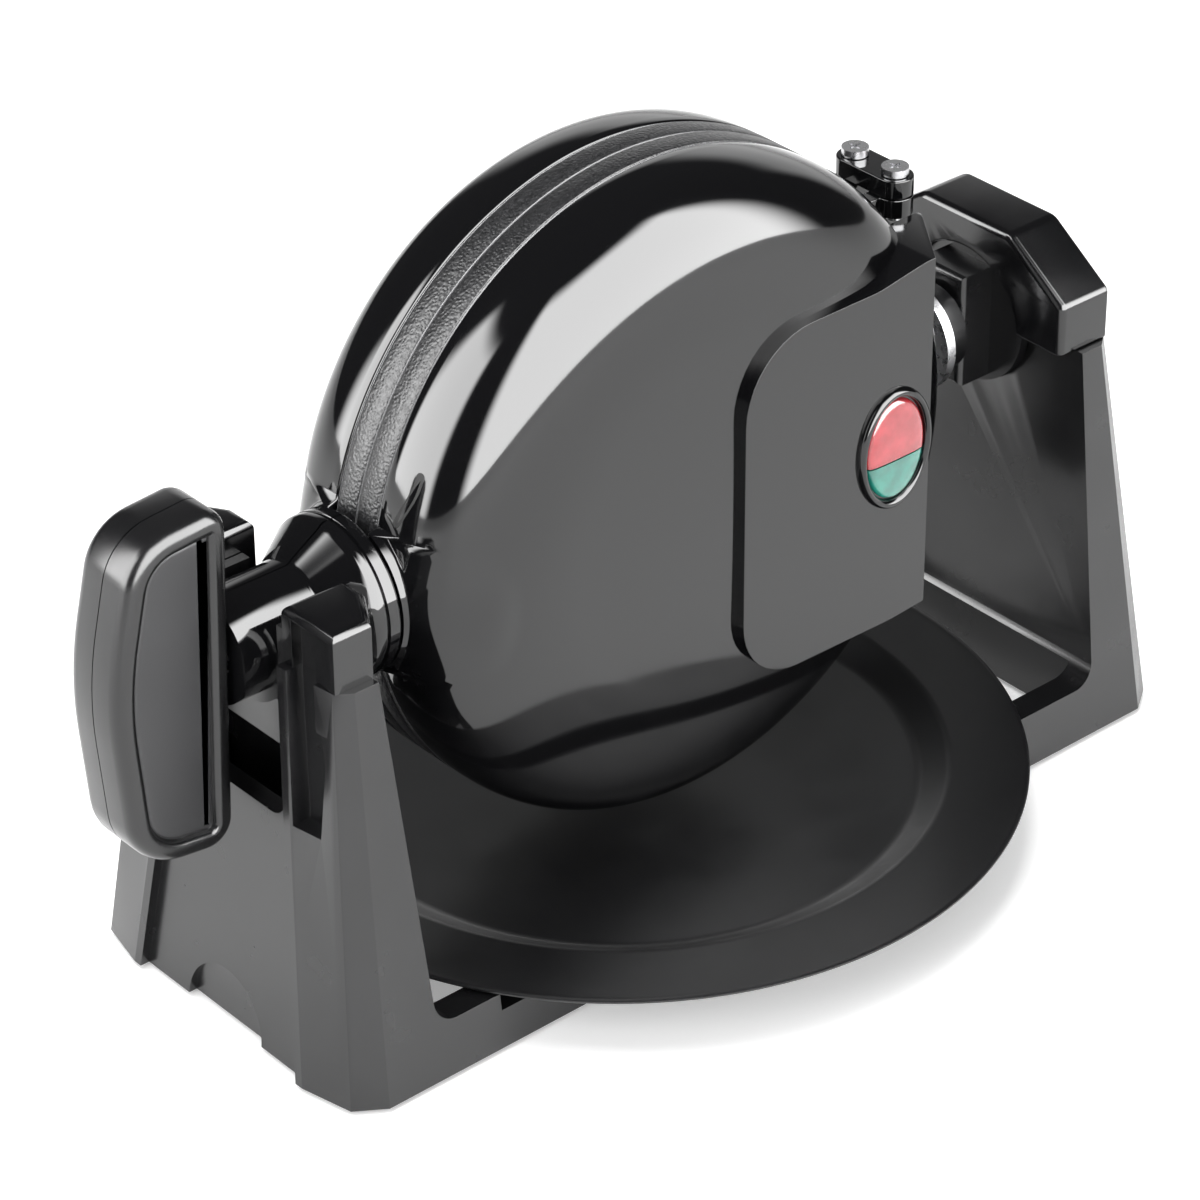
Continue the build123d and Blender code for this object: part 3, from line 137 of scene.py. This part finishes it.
def bump(material, shader, height, strength, distance):
    node = material.node_tree.nodes.new("ShaderNodeBump")
    node.inputs["Strength"].default_value = strength
    node.inputs["Distance"].default_value = distance
    material.node_tree.links.new(height, node.inputs["Height"])
    material.node_tree.links.new(node.outputs["Normal"], shader.inputs["Normal"])


def vary_rough(material, shader, scale, low, high):
    value = spread(material, noise(material, scale), 0.3, 0.7, low, high)
    material.node_tree.links.new(value, shader.inputs["Roughness"])


def vary_color(material, shader, scale, dark, light):
    ramp = material.node_tree.nodes.new("ShaderNodeValToRGB")
    ramp.color_ramp.elements[0].color = (*dark, 1.0)
    ramp.color_ramp.elements[1].color = (*light, 1.0)
    ramp.color_ramp.elements[0].position = 0.35
    ramp.color_ramp.elements[1].position = 0.7
    material.node_tree.links.new(noise(material, scale), ramp.inputs["Fac"])
    material.node_tree.links.new(ramp.outputs["Color"], shader.inputs["Base Color"])


def gloss_plastic(name, rough=(0.05, 0.09), spec=0.55):
    material, shader = new_material(name, (0.004, 0.004, 0.0045), rough[0], spec=spec)
    vary_rough(material, shader, 40.0, *rough)
    bump(material, shader, noise(material, 30.0, 1.0), 0.03, 0.0003)
    return material


def satin_plastic(name, color, rough, grain=2600.0, strength=0.12):
    material, shader = new_material(name, color, rough, spec=0.55)
    vary_rough(material, shader, 60.0, rough - 0.03, rough + 0.04)
    bump(material, shader, noise(material, grain, 2.0), strength, 0.0001)
    return material


def leather_plastic(name):
    material, shader = new_material(name, (0.008, 0.008, 0.0085), 0.42, spec=0.6)
    vary_rough(material, shader, 900.0, 0.34, 0.5)
    vary_color(material, shader, 700.0, (0.006, 0.006, 0.0065), (0.016, 0.016, 0.017))
    bump(material, shader, cells(material, 1100.0, "SMOOTH_F1"), 0.7, 0.00035)
    return material


def metal(name, color, rough, scale=300.0):
    material, shader = new_material(name, color, rough, metal=1.0)
    vary_rough(material, shader, scale, rough - 0.05, rough + 0.08)
    bump(material, shader, noise(material, scale * 4, 2.0), 0.08, 0.0001)
    return material


def coloured_lens(name, dark, light):
    material, shader = new_material(name, light, 0.16, spec=0.6, coat=1.0, coat_rough=0.03)
    vary_color(material, shader, 160.0, dark, light)
    bump(material, shader, cells(material, 420.0), 0.12, 0.0003)
    shader.inputs["Subsurface Weight"].default_value = 0.25
    shader.inputs["Subsurface Radius"].default_value = (0.003, 0.002, 0.002)
    return material


GLOSS = gloss_plastic("gloss_black")
TOWER = satin_plastic("stand_black", (0.006, 0.006, 0.0065), 0.24, 1800.0, 0.08)
CAPS = gloss_plastic("cap_black", (0.13, 0.19), 0.6)
HANDLE = satin_plastic("handle_black", (0.008, 0.008, 0.0085), 0.22, 1500.0, 0.08)
INLAY = satin_plastic("inlay_black", (0.012, 0.012, 0.013), 0.4, 2400.0, 0.15)
LEATHER = leather_plastic("grained_black")
TRAY = satin_plastic("tray_black", (0.005, 0.005, 0.0055), 0.36, 2600.0, 0.1)
INNER = satin_plastic("inner_black", (0.01, 0.01, 0.011), 0.45)
# Near-black matte for the slot strip: painted shade in place of the shadow inside the recess
SLOT_PAINTED_SHADE = satin_plastic("slot_painted_shade", (0.001, 0.001, 0.001), 0.8, 900.0, 0.1)
# Grey colour of the seam lips: the lips are real, the bright line they show is a painted highlight
SEAM_HIGHLIGHT = satin_plastic("seam_painted_highlight", (0.16, 0.16, 0.165), 0.3, 900.0, 0.05)
PLATE = satin_plastic("nonstick", (0.016, 0.016, 0.018), 0.4, 1600.0, 0.2)
STEEL = metal("turned_steel", (0.5, 0.5, 0.51), 0.28)
SCREW = metal("screw_steel", (0.35, 0.35, 0.36), 0.32)
PAN = metal("bright_sheet", (0.75, 0.75, 0.76), 0.25)
RUBBER = satin_plastic("foot_rubber", (0.012, 0.012, 0.012), 0.75, 1200.0, 0.3)
LEAD = satin_plastic("woven_lead", (0.45, 0.42, 0.38), 0.7, 900.0, 0.5)
RED = coloured_lens("red_lens", (0.42, 0.012, 0.02), (0.62, 0.03, 0.045))
GREEN = coloured_lens("green_lens", (0.0, 0.2, 0.15), (0.01, 0.34, 0.25))


# Mesh helpers


def piece(name, verts, faces, material, body, replaces=(), slot=None, smooth=35.0, bevel=None):
    """A new object from millimetre points, riding on a body."""
    data = bpy.data.meshes.new(name)
    data.from_pydata([(x * MM, y * MM, z * MM) for x, y, z in verts], [], [list(f) for f in faces])
    data.validate()
    return dress(name, data, material, body, replaces, smooth, bevel)


def dress(name, data, material, body, replaces=(), smooth=35.0, bevel=None):
    build = bmesh.new()
    build.from_mesh(data)
    bmesh.ops.remove_doubles(build, verts=build.verts, dist=1e-6)
    bmesh.ops.recalc_face_normals(build, faces=build.faces)
    build.to_mesh(data)
    build.free()
    data.materials.clear()
    data.materials.append(material)
    obj = bpy.data.objects.new(name, data)
    bpy.context.scene.collection.objects.link(obj)
    if bevel:
        width, segments, angle = bevel
        modifier = obj.modifiers.new("bevel", "BEVEL")
        modifier.width = width * MM
        modifier.segments = segments
        modifier.limit_method = "ANGLE"
        modifier.angle_limit = radians(angle)
        modifier.harden_normals = True
        modifier.miter_outer = "MITER_ARC"
    for face in data.polygons:
        face.use_smooth = True
    data.set_sharp_from_angle(angle=radians(smooth))
    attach(obj, body)
    if replaces:
        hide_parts(*replaces)
    return obj


def grid_faces(rows, columns):
    """Quads between closed rings of points given ring by ring."""
    faces = []
    for i in range(rows - 1):
        for j in range(columns):
            k = (j + 1) % columns
            faces.append((i * columns + j, i * columns + k, (i + 1) * columns + k, (i + 1) * columns + j))
    return faces


def lathe(profile, axis, centre, start=0.0, end=360.0, steps=192):
    """Points and faces of a closed profile of (radius, height) turned about X, Y or Z."""
    full = abs(end - start) > 359.9
    count = steps if full else steps + 1
    angles = [radians(start + (end - start) * i / steps) for i in range(count)]
    verts = []
    for angle in angles:
        for r, h in profile:
            a, b = r * cos(angle), r * sin(angle)
            local = {"X": (h, a, b), "Y": (a, h, b), "Z": (a, b, h)}[axis]
            verts.append(tuple(p + c for p, c in zip(local, centre)))
    n = len(profile)
    faces = []
    for i in range(count if full else count - 1):
        j = (i + 1) % count
        for k in range(n):
            m = (k + 1) % n
            faces.append((i * n + k, i * n + m, j * n + m, j * n + k))
    if not full:
        faces.append(tuple(range(n)))
        faces.append(tuple((count - 1) * n + k for k in reversed(range(n))))
    return verts, faces


def rounded(points, steps=6):
    """A closed outline whose corners (x, y, radius) become arcs."""
    out = []
    n = len(points)
    for i, (x, y, r) in enumerate(points):
        p = Vector((x, y))
        a = Vector(points[i - 1][:2]) - p
        b = Vector(points[(i + 1) % n][:2]) - p
        if r <= 0:
            out.append((x, y))
            continue
        half = a.angle(b) / 2
        reach = min(r / tan(half), a.length * 0.49, b.length * 0.49)
        radius = reach * tan(half)
        a.normalize()
        b.normalize()
        middle = p + (a + b).normalized() * (radius / sin(half))
        first, last = p + a * reach - middle, p + b * reach - middle
        turn = first.angle_signed(last)
        for k in range(steps + 1):
            angle = -turn * k / steps
            c, s = cos(angle), sin(angle)
            out.append((middle.x + first.x * c - first.y * s, middle.y + first.x * s + first.y * c))
    return out


def inset(outline, amount):
    """The outline moved inwards by an amount, point by point."""
    n = len(outline)
    area = sum(
        outline[i - 1][0] * outline[i][1] - outline[i][0] * outline[i - 1][1] for i in range(n)
    )
    way = 1 if area > 0 else -1
    out = []
    for i in range(n):
        x0, y0 = outline[i - 1]
        x1, y1 = outline[(i + 1) % n]
        dx, dy = x1 - x0, y1 - y0
        length = sqrt(dx * dx + dy * dy) or 1.0
        out.append((outline[i][0] - way * dy / length * amount, outline[i][1] + way * dx / length * amount))
    return out


def stack(levels, place):
    """Loops of the same count joined into one closed skin; place maps (u, v, level) to a point."""
    verts = [place(u, v, h) for loop, h in levels for u, v in loop]
    n = len(levels[0][0])
    faces = grid_faces(len(levels), n)
    faces.append(tuple(range(n)))
    faces.append(tuple((len(levels) - 1) * n + k for k in reversed(range(n))))
    return verts, faces


def cut(obj, point, normal):
    """Cuts away what lies beyond a plane and closes the cut."""
    build = bmesh.new()
    build.from_mesh(obj.data)
    geometry = build.verts[:] + build.edges[:] + build.faces[:]
    result = bmesh.ops.bisect_plane(
        build, geom=geometry, plane_co=Vector(point) * MM, plane_no=normal, clear_outer=True
    )
    edges = [e for e in result["geom_cut"] if isinstance(e, bmesh.types.BMEdge)]
    bmesh.ops.holes_fill(build, edges=edges)
    build.to_mesh(obj.data)
    build.free()
    for face in obj.data.polygons:
        face.use_smooth = True
    obj.data.set_sharp_from_angle(angle=radians(32))


def bevelled_copy(node, material, width, segments=3, angle=28.0, body=None, smooth=30.0):
    """The CAD node again, with its flat faces joined and its edges rounded."""
    source = frame["nodes"][node]
    data = source.data.copy()
    data.transform(source.matrix_world)
    build = bmesh.new()
    build.from_mesh(data)
    bmesh.ops.remove_doubles(build, verts=build.verts, dist=2e-6)
    bmesh.ops.dissolve_limit(
        build, angle_limit=radians(0.6), verts=build.verts, edges=build.edges, use_dissolve_boundaries=False
    )
    build.to_mesh(data)
    build.free()
    name = f"{node}_finished"
    return dress(name, data, material, body, (node,), smooth, (width, segments, angle))


def body_of(node):
    for name, nodes in frame["record"]["behaviour"]["bodies"].items():
        if node in nodes:
            return name
    raise ValueError(node)


# The two domed covers

SHOULDER_R, SHOULDER_D = 107.9, 13.0
FLAT_R, FLAT_D = 58.0, 44.5
COVER_START = 9.5
FULLNESS = 0.72
LID_END_X = 94.6


def shoulder_curve():
    t = np.linspace(0, 1, 400)
    p = np.array([
        (SHOULDER_R, SHOULDER_D),
        (SHOULDER_R, SHOULDER_D + FULLNESS * (FLAT_D - SHOULDER_D)),
        (FLAT_R + FULLNESS * (SHOULDER_R - FLAT_R), FLAT_D),
        (FLAT_R, FLAT_D),
    ])
    basis = np.stack([(1 - t) ** 3, 3 * t * (1 - t) ** 2, 3 * t * t * (1 - t), t ** 3], -1)
    return basis @ p


SHOULDER = shoulder_curve()


CROWN_R = 74.0  # the middle is crowned a little, so that it runs into the shoulder without a crease
CROWN_D = 0.9


def dome_depth(r):
    """Depth of the dome's surface from the parting plane at a radius."""
    if r >= SHOULDER_R:
        return SHOULDER_D - (r - SHOULDER_R) * 6.0
    depth = FLAT_D if r <= FLAT_R else float(np.interp(r, SHOULDER[::-1, 0], SHOULDER[::-1, 1]))
    return min(depth, FLAT_D) - CROWN_D * (r / CROWN_R) ** 2 * max(1 - (r / SHOULDER_R) ** 8, 0.0)


FLARE_X = -117.0  # where the cone starts at the neck
FLARE_LENGTH = 21.0
FLARE_R = 25.6
FLARE_TURN = 0.8  # from here on the cone sinks below the dome
FLARE_TURN_R = 35.84
FLARE_HALF_Z = 25.0
FLARE_LAST_X = -70.0
FLARE_BLEND = 9.0


def flare_depth(x, z):
    """Depth of the cone round the turning axis where the neck runs into the body."""
    t = (x - FLARE_X) / FLARE_LENGTH
    if t < FLARE_TURN:
        radius = FLARE_R + 10.4 * t + 3.0 * t * t
    else:
        radius = FLARE_TURN_R + 15.2 * (t - FLARE_TURN) - 26.0 * (t - FLARE_TURN) ** 2
    inside = radius * radius - z * z
    return sqrt(inside) if inside > 0 else -sqrt(-inside)


def soft_max(a, b, width):
    h = max(width - abs(a - b), 0.0) / width
    return max(a, b) + h * h * width / 4


def cover_surface(x, z):
    r = sqrt((x - BODY_X) ** 2 + z * z)
    depth = dome_depth(r)
    if x < FLARE_LAST_X:
        depth = soft_max(depth, flare_depth(x, z), FLARE_BLEND)
    return max(depth, COVER_START)


def cover_mesh(side):
    """Outer skin with a rolled inner lip."""
    columns, rings, first_ring = 360, 110, 3
    radii = [SHOULDER_R * sin(pi / 2 * k / rings) for k in range(first_ring, rings + 1)]
    rows, verts = 0, []

    def reach(angle):
        """Outer radius: the rim, or the end of the flare where that reaches further."""
        c, s = cos(angle), sin(angle)
        if c >= 0:
            return SHOULDER_R
        end = (FLARE_X - BODY_X) / c
        return max(SHOULDER_R, end) if abs(end * s) < FLARE_HALF_Z else SHOULDER_R

    for r in radii:
        for j in range(columns):
            angle = 2 * pi * j / columns
            radius = r / SHOULDER_R * reach(angle)
            x, z = BODY_X + radius * cos(angle), radius * sin(angle)
            verts.append((x, side * cover_surface(x, z), AXIS_Z + z))
        rows += 1
    for step, depth in ((0.0, 10.4), (0.25, 9.8), (0.9, 9.5), (3.4, 9.5), (3.6, 12.0)):
        for j in range(columns):
            angle = 2 * pi * j / columns
            radius = reach(angle) - step
            x, z = BODY_X + radius * cos(angle), radius * sin(angle)
            verts.append((x, side * depth, AXIS_Z + z))
        rows += 1
    faces = grid_faces(rows, columns)
    verts.append((BODY_X, side * FLAT_D, AXIS_Z))
    hub = len(verts) - 1
    faces += [(hub, (j + 1) % columns, j) for j in range(columns)]
    return verts, faces


piece("back_cover_skin", *cover_mesh(1), GLOSS, "back_half", ("back_cover",), "gloss_shell", 60.0)
lid_cover = piece("lid_cover_skin", *cover_mesh(-1), GLOSS, "lid", ("front_cover",), "gloss_shell", 60.0)
cut(lid_cover, (LID_END_X, 0, 0), (1, 0, 0))


# Slot on the lid's shoulder above the neck: a dark strip raised on the skin, its near-black a painted shade
# standing in for the recess

SLOT_PATH = ((156.4, 21.5), (158.5, 21.3), (160.5, 20.4), (162.5, 19.0), (164.9, 17.2))  # degrees, depth
SLOT_HALF_W = 1.45


def slot_outline():
    arc = SHOULDER_R * pi / 180
    path = [Vector((a * arc, d)) for a, d in SLOT_PATH]
    left, right = [], []
    for i, p in enumerate(path):
        way = (path[min(i + 1, len(path) - 1)] - path[max(i - 1, 0)]).normalized()
        across = Vector((-way.y, way.x)) * SLOT_HALF_W
        left.append(p + across)
        right.append(p - across)
    out = [tuple(p) for p in left]
    for end, side in ((path[-1], left[-1]), (path[0], right[0])):
        start = side - end
        for k in range(1, 8):
            c, s = cos(-pi * k / 8), sin(-pi * k / 8)
            out.append((end.x + start.x * c - start.y * s, end.y + start.x * s + start.y * c))
        if end is path[-1]:
            out += [tuple(p) for p in reversed(right)]
    return out


def on_shoulder(u, v, h):
    radius = float(np.interp(v, SHOULDER[:, 1], SHOULDER[:, 0])) + h
    angle = u / SHOULDER_R
    return BODY_X + radius * cos(angle), -v, AXIS_Z + radius * sin(angle)


slot_edge = slot_outline()
slot_levels = [(slot_edge, -0.5), (slot_edge, 0.0), (inset(slot_edge, 0.3), 0.12)]
piece("lid_slot_painted_shade", *stack(slot_levels, on_shoulder), SLOT_PAINTED_SHADE, "lid", (), "inner_plastic", 50.0)


# Grained bands with a lip along each seam; the lips are coloured grey as a painted highlight line


def band_profile(side):
    points = [
        (97.0, 0.2), (107.0, 0.2), (107.7, 0.45), (108.0, 1.0), (108.0, 7.9), (107.75, 8.6), (107.2, 9.0),
        (97.0, 9.0),
    ]
    return [(r, side * d) for r, d in points]


for side, word, body in ((1, "back", "back_half"), (-1, "front", "lid")):
    band = piece(
        f"{word}_band_skin", *lathe(band_profile(side), "Y", CENTRE, steps=256), LEATHER, body,
        (f"{word}_band",), "grained_plastic", 40.0,
    )
    edge = [
        (105.6, side * 8.9), (107.35, side * 8.9), (107.6, side * 9.15), (107.35, side * 9.45),
        (105.6, side * 9.45),
    ]
    lip = piece(f"{word}_seam_lip", *lathe(edge, "Y", CENTRE, steps=256), SEAM_HIGHLIGHT, body, (), "gloss_shell", 60.0)
    if side < 0:
        for obj in (band, lip):
            cut(obj, (LID_END_X, 0, 0), (1, 0, 0))
middle = [(105.0, 0.16), (107.5, 0.16), (107.7, 0.5), (107.4, 0.9), (105.0, 0.9)]
piece("parting_lip", *lathe(middle, "Y", CENTRE, steps=256), SEAM_HIGHLIGHT, "back_half", (), "gloss_shell", 60.0)


# Raised panel on the lid

panel_outline = rounded([
    (-2.4, 70.5, 23.0), (-2.4, 190.2, 28.0), (52.0, 190.6, 40.0), (72.0, 194.0, 30.0),
    (94.3, 194.0, 3.0), (94.3, 72.0, 3.0), (60.0, 69.6, 60.0),
], 10)
panel_levels = [(panel_outline, 22.0), (panel_outline, 47.2)]
panel = piece(
    "lid_panel", *stack(panel_levels, lambda u, v, h: (u, -h, v)), GLOSS, "lid", ("cover_panel",),
    "gloss_shell", 30.0, (3.2, 5, 24.0),
)
cut(panel, (75.5, -47.2, 0), Vector((26.2, -18.9, 0)).normalized())


# Indicator lamp

LAMP_X, LAMP_Z = 60.0, AXIS_Z - 0.4


LAMP_COLUMNS = 96


def ellipse(a, b):
    angles = [2 * pi * j / LAMP_COLUMNS for j in range(LAMP_COLUMNS)]
    return [(a * cos(angle), b * sin(angle)) for angle in angles]


def on_lamp(u, v, depth):
    return LAMP_X + u, -depth, LAMP_Z + v


def lens(name, material, node, height, way):
    """Half of the lens: what is above or below a line at a height from the lamp's middle."""
    loops = [(ellipse(a, b), depth) for a, b, depth in LENS]
    obj = piece(name, *stack(loops, on_lamp), material, "lid", (node,), node, 50.0)
    cut(obj, (LAMP_X, 0, LAMP_Z + height), (0, 0, -way))


def lamp_ring():
    verts = [on_lamp(u, v, depth) for a, b, depth in BEZEL for u, v in ellipse(a, b)]
    faces = grid_faces(len(BEZEL), LAMP_COLUMNS)
    last = (len(BEZEL) - 1) * LAMP_COLUMNS
    for j in range(LAMP_COLUMNS):
        k = (j + 1) % LAMP_COLUMNS
        faces.append((last + j, last + k, k, j))
    piece("lamp_ring", verts, faces, GLOSS, "lid", ("lamp_bezel",), "gloss_shell", 60.0)


BEZEL = [(15.4, 21.0, 46.2), (15.4, 21.0, 47.6), (15.1, 20.7, 48.6), (14.4, 20.0, 49.2), (13.6, 19.2, 49.3),
         (12.9, 18.4, 48.8), (12.5, 17.9, 47.8), (12.3, 17.6, 46.2)]
LENS = [(12.1, 17.3, 44.0), (12.1, 17.3, 47.6), (11.7, 16.9, 48.3), (10.8, 16.0, 48.8), (9.0, 14.0, 49.1),
        (6.0, 9.5, 49.25), (2.5, 4.0, 49.3)]
lamp_ring()
lens("lamp_red", RED, "red_lens", -3.1, 1)
lens("lamp_green", GREEN, "green_lens", -3.6, -1)


# Neck between the body and the handle

NECK = [(17.0, -168.0), (17.0, -139.5), (17.3, -138.6), (18.0, -137.8), (24.6, -127.4), (25.6, -126.3),
        (26.0, -125.2), (26.0, -123.6), (25.2, -123.2), (25.2, -122.6), (26.1, -122.2), (26.1, -118.8),
        (25.6, -118.0), (24.0, -117.6), (9.0, -117.6), (9.0, -168.0)]
NECK_SPAN = 178.6  # degrees of each shell, short of a half turn by the seams
for word, first in (("back", -89.3), ("front", 90.7)):
    piece(
        f"neck_{word}_skin", *lathe(NECK, "X", AXIS, first, first + NECK_SPAN, 128), GLOSS, "back_half",
        (f"neck_{word}_shell",), "gloss_shell", 32.0,
    )


# Handle: two shells, each with a recessed inlay

grip = rounded([
    (-166.8, 187.0, 7.0), (-200.0, 184.5, 18.0), (-210.6, 138.0, 120.0), (-205.5, 77.5, 20.0),
    (-170.6, 73.0, 9.0),
], 10)
GRIP_LEVELS = [(0.0, 0.2), (0.0, 7.6), (0.35, 9.2), (1.1, 10.6), (2.2, 11.5), (3.4, 11.9), (4.8, 12.0),
               (5.9, 11.9), (6.5, 11.5), (6.8, 10.6), (7.2, 9.9)]
INLAY_LEVELS = [(7.3, 9.0), (7.3, 9.9), (7.7, 10.15), (8.6, 10.2), (10.5, 10.2)]
for side, word in ((1, "back"), (-1, "front")):
    levels = [(inset(grip, a), h) for a, h in GRIP_LEVELS]
    piece(
        f"handle_{word}_skin", *stack(levels, lambda u, v, h: (u, side * h, v)), HANDLE, "back_half",
        (f"handle_{word}_shell",), "handle_plastic", 50.0,
    )
    levels = [(inset(grip, a), h) for a, h in INLAY_LEVELS]
    piece(
        f"handle_{word}_insert", *stack(levels, lambda u, v, h: (u, side * h, v)), INLAY, "back_half",
        (f"handle_{word}_inlay",), "grained_plastic", 50.0,
    )


# Drip tray

TRAY_CENTRE = (-6.0, 7.3, 0.0)
TRAY_PROFILE = [
    (0.01, 16.0), (94.5, 16.0), (96.5, 16.15), (98.3, 16.8), (104.9, 20.6), (106.2, 21.25), (107.8, 21.5),
    (128.6, 21.35), (130.4, 21.6), (131.4, 21.7), (132.0, 21.4), (132.0, 20.9), (131.5, 20.4),
    (129.5, 20.1), (108.5, 20.1), (107.0, 19.8), (98.8, 15.1), (97.0, 14.5), (95.0, 14.4), (0.01, 14.4),
]
piece("drip_tray_skin", *lathe(TRAY_PROFILE, "Z", TRAY_CENTRE, steps=300), TRAY, "tray", ("drip_tray",),
      "tray_plastic", 40.0)


# Stand, caps and hinge: the solids again, with rounded edges

for node, material, width, angle in (
    ("stand_frame", TOWER, 1.4, 30.0),
    ("left_saddle_cap", CAPS, 0.8, 30.0),
    ("right_hoop_cap", CAPS, 1.0, 30.0),
    ("bearing_housing", TOWER, 0.6, 30.0),
    ("hinge_links", GLOSS, 0.8, 30.0),
    ("back_hinge_brackets", GLOSS, 0.5, 30.0),
    ("front_hinge_brackets", GLOSS, 0.5, 30.0),
):
    bevelled_copy(node, material, width, 3, angle, body_of(node))


# Materials of the CAD nodes that stay as they are

for nodes, material in (
    (("front_waffle_plate", "back_waffle_plate"), PLATE),
    (("front_element", "back_element", "hollow_shaft", "thrust_washer", "shaft_circlip", "detent_spring",
      "detent_plunger", "detent_plug", "thermostat", "thermal_fuse", "neck_core", "back_hinge_pins",
      "front_hinge_pins"), STEEL),
    (("base_screws", "back_plate_screws", "front_plate_screws", "shaft_screws"), SCREW),
    (("front_reflector", "back_reflector"), PAN),
    (("bearing_bush", "saddle_liner", "shaft_collar"), TOWER),
    (("left_bottom_cover", "right_bottom_cover", "terminal_block", "lamp_board"), INNER),
    (("rubber_feet", "inlet_grommet"), RUBBER),
    (("mains_leads", "heater_leads"), LEAD),
):
    for node in nodes:
        data = frame["nodes"][node].data
        data.materials.clear()
        data.materials.append(material)


# Floor, background and lights


def floor():
    data = bpy.data.meshes.new("floor")
    data.from_pydata([(-6, -6, 0), (6, -6, 0), (6, 6, 0), (-6, 6, 0)], [], [(0, 1, 2, 3)])
    obj = bpy.data.objects.new("floor", data)
    bpy.context.scene.collection.objects.link(obj)
    material, shader = new_material("floor_white", (0.9, 0.9, 0.9), 0.6, spec=0.2)
    tree = material.node_tree
    shine = tree.nodes.new("ShaderNodeEmission")
    shine.inputs["Color"].default_value = (1, 1, 1, 1)
    path = tree.nodes.new("ShaderNodeLightPath")
    lift = tree.nodes.new("ShaderNodeMath")
    lift.operation = "MULTIPLY"
    lift.inputs[1].default_value = 0.32
    seen = tree.nodes.new("ShaderNodeMath")
    seen.operation = "MAXIMUM"
    tree.links.new(path.outputs["Is Camera Ray"], seen.inputs[0])
    tree.links.new(path.outputs["Is Glossy Ray"], seen.inputs[1])
    tree.links.new(seen.outputs[0], lift.inputs[0])
    tree.links.new(lift.outputs[0], shine.inputs["Strength"])
    both = tree.nodes.new("ShaderNodeAddShader")
    tree.links.new(shader.outputs[0], both.inputs[0])
    tree.links.new(shine.outputs[0], both.inputs[1])
    tree.links.new(both.outputs[0], tree.nodes["Material Output"].inputs["Surface"])
    data.materials.append(material)


# Windows of light that gloss reflects: from and to azimuth (0 is the front, + to the right), from and to
# elevation in degrees, strength, width of the soft edge
WINDOWS = (
    (-34, 46, -8, 62, 19.0, 14.0),
    (-134, -94, -4, 50, 15.0, 10.0),
    (108, 150, -2, 24, 1.6, 14.0),
)
GLOSS_BASE = 0.05


def world():
    """White behind the object, a dim studio for the light, windows for the reflections."""
    background = bpy.data.worlds.new("studio")
    bpy.context.scene.world = background
    background.use_nodes = True
    tree = background.node_tree
    tree.nodes.clear()
    output = tree.nodes.new("ShaderNodeOutputWorld")
    path = tree.nodes.new("ShaderNodeLightPath")
    where = tree.nodes.new("ShaderNodeTexCoord")
    split = tree.nodes.new("ShaderNodeSeparateXYZ")
    tree.links.new(where.outputs["Generated"], split.inputs[0])

    def math(operation, first, second=None):
        node = tree.nodes.new("ShaderNodeMath")
        node.operation = operation
        for socket, value in zip(node.inputs, (first, second)):
            if isinstance(value, (int, float)):
                socket.default_value = value
            elif value is not None:
                tree.links.new(value, socket)
        return node.outputs[0]

    def edge(value, low, high):
        node = tree.nodes.new("ShaderNodeMapRange")
        node.interpolation_type = "SMOOTHSTEP"
        node.inputs["From Min"].default_value = radians(low)
        node.inputs["From Max"].default_value = radians(high)
        tree.links.new(value, node.inputs["Value"])
        return node.outputs["Result"]

    azimuth = math("ARCTAN2", split.outputs["X"], math("MULTIPLY", split.outputs["Y"], -1.0))
    elevation = math("ARCSINE", split.outputs["Z"])
    total = GLOSS_BASE
    for a0, a1, e0, e1, strength, soft in WINDOWS:
        mask = math("MULTIPLY", edge(azimuth, a0 - soft, a0), edge(azimuth, a1 + soft, a1))
        mask = math("MULTIPLY", mask, edge(elevation, e0 - soft / 2, e0 + soft / 2))
        mask = math("MULTIPLY", mask, edge(elevation, e1 + soft / 2, e1 - soft / 2))
        total = math("ADD", math("MULTIPLY", mask, strength), total)
    gloss = tree.nodes.new("ShaderNodeBackground")
    tree.links.new(total, gloss.inputs["Strength"])
    dim = tree.nodes.new("ShaderNodeBackground")
    dim.inputs["Color"].default_value = (0.5, 0.5, 0.5, 1)
    white = tree.nodes.new("ShaderNodeBackground")
    white.inputs["Color"].default_value = (1, 1, 1, 1)
    mix = tree.nodes.new("ShaderNodeMixShader")
    tree.links.new(path.outputs["Is Glossy Ray"], mix.inputs[0])
    tree.links.new(dim.outputs[0], mix.inputs[1])
    tree.links.new(gloss.outputs[0], mix.inputs[2])
    last = tree.nodes.new("ShaderNodeMixShader")
    seen = math("MAXIMUM", path.outputs["Is Camera Ray"], path.outputs["Is Transmission Ray"])
    tree.links.new(seen, last.inputs[0])
    tree.links.new(mix.outputs[0], last.inputs[1])
    tree.links.new(white.outputs[0], last.inputs[2])
    tree.links.new(last.outputs[0], output.inputs["Surface"])


def softbox(name, place, target, width, height, power):
    data = bpy.data.lights.new(name, "AREA")
    data.shape = "RECTANGLE"
    data.size = width
    data.size_y = height
    data.energy = power
    obj = bpy.data.objects.new(name, data)
    obj.location = place
    obj.visible_glossy = False
    aim = Vector(place) - Vector(target)
    obj.rotation_euler = aim.to_track_quat("Z", "Y").to_euler()
    bpy.context.scene.collection.objects.link(obj)


floor()
world()
softbox("top_box", (-0.2, 0.3, 1.7), (0, 0, 0.1), 1.6, 1.2, 34.0)
softbox("left_box", (-1.5, -0.3, 0.9), (0, 0, 0.12), 0.7, 1.1, 14.0)
softbox("front_box", (0.3, -2.0, 1.2), (0, 0, 0.1), 1.2, 0.8, 12.0)

bpy.context.scene.view_settings.view_transform = "Standard"
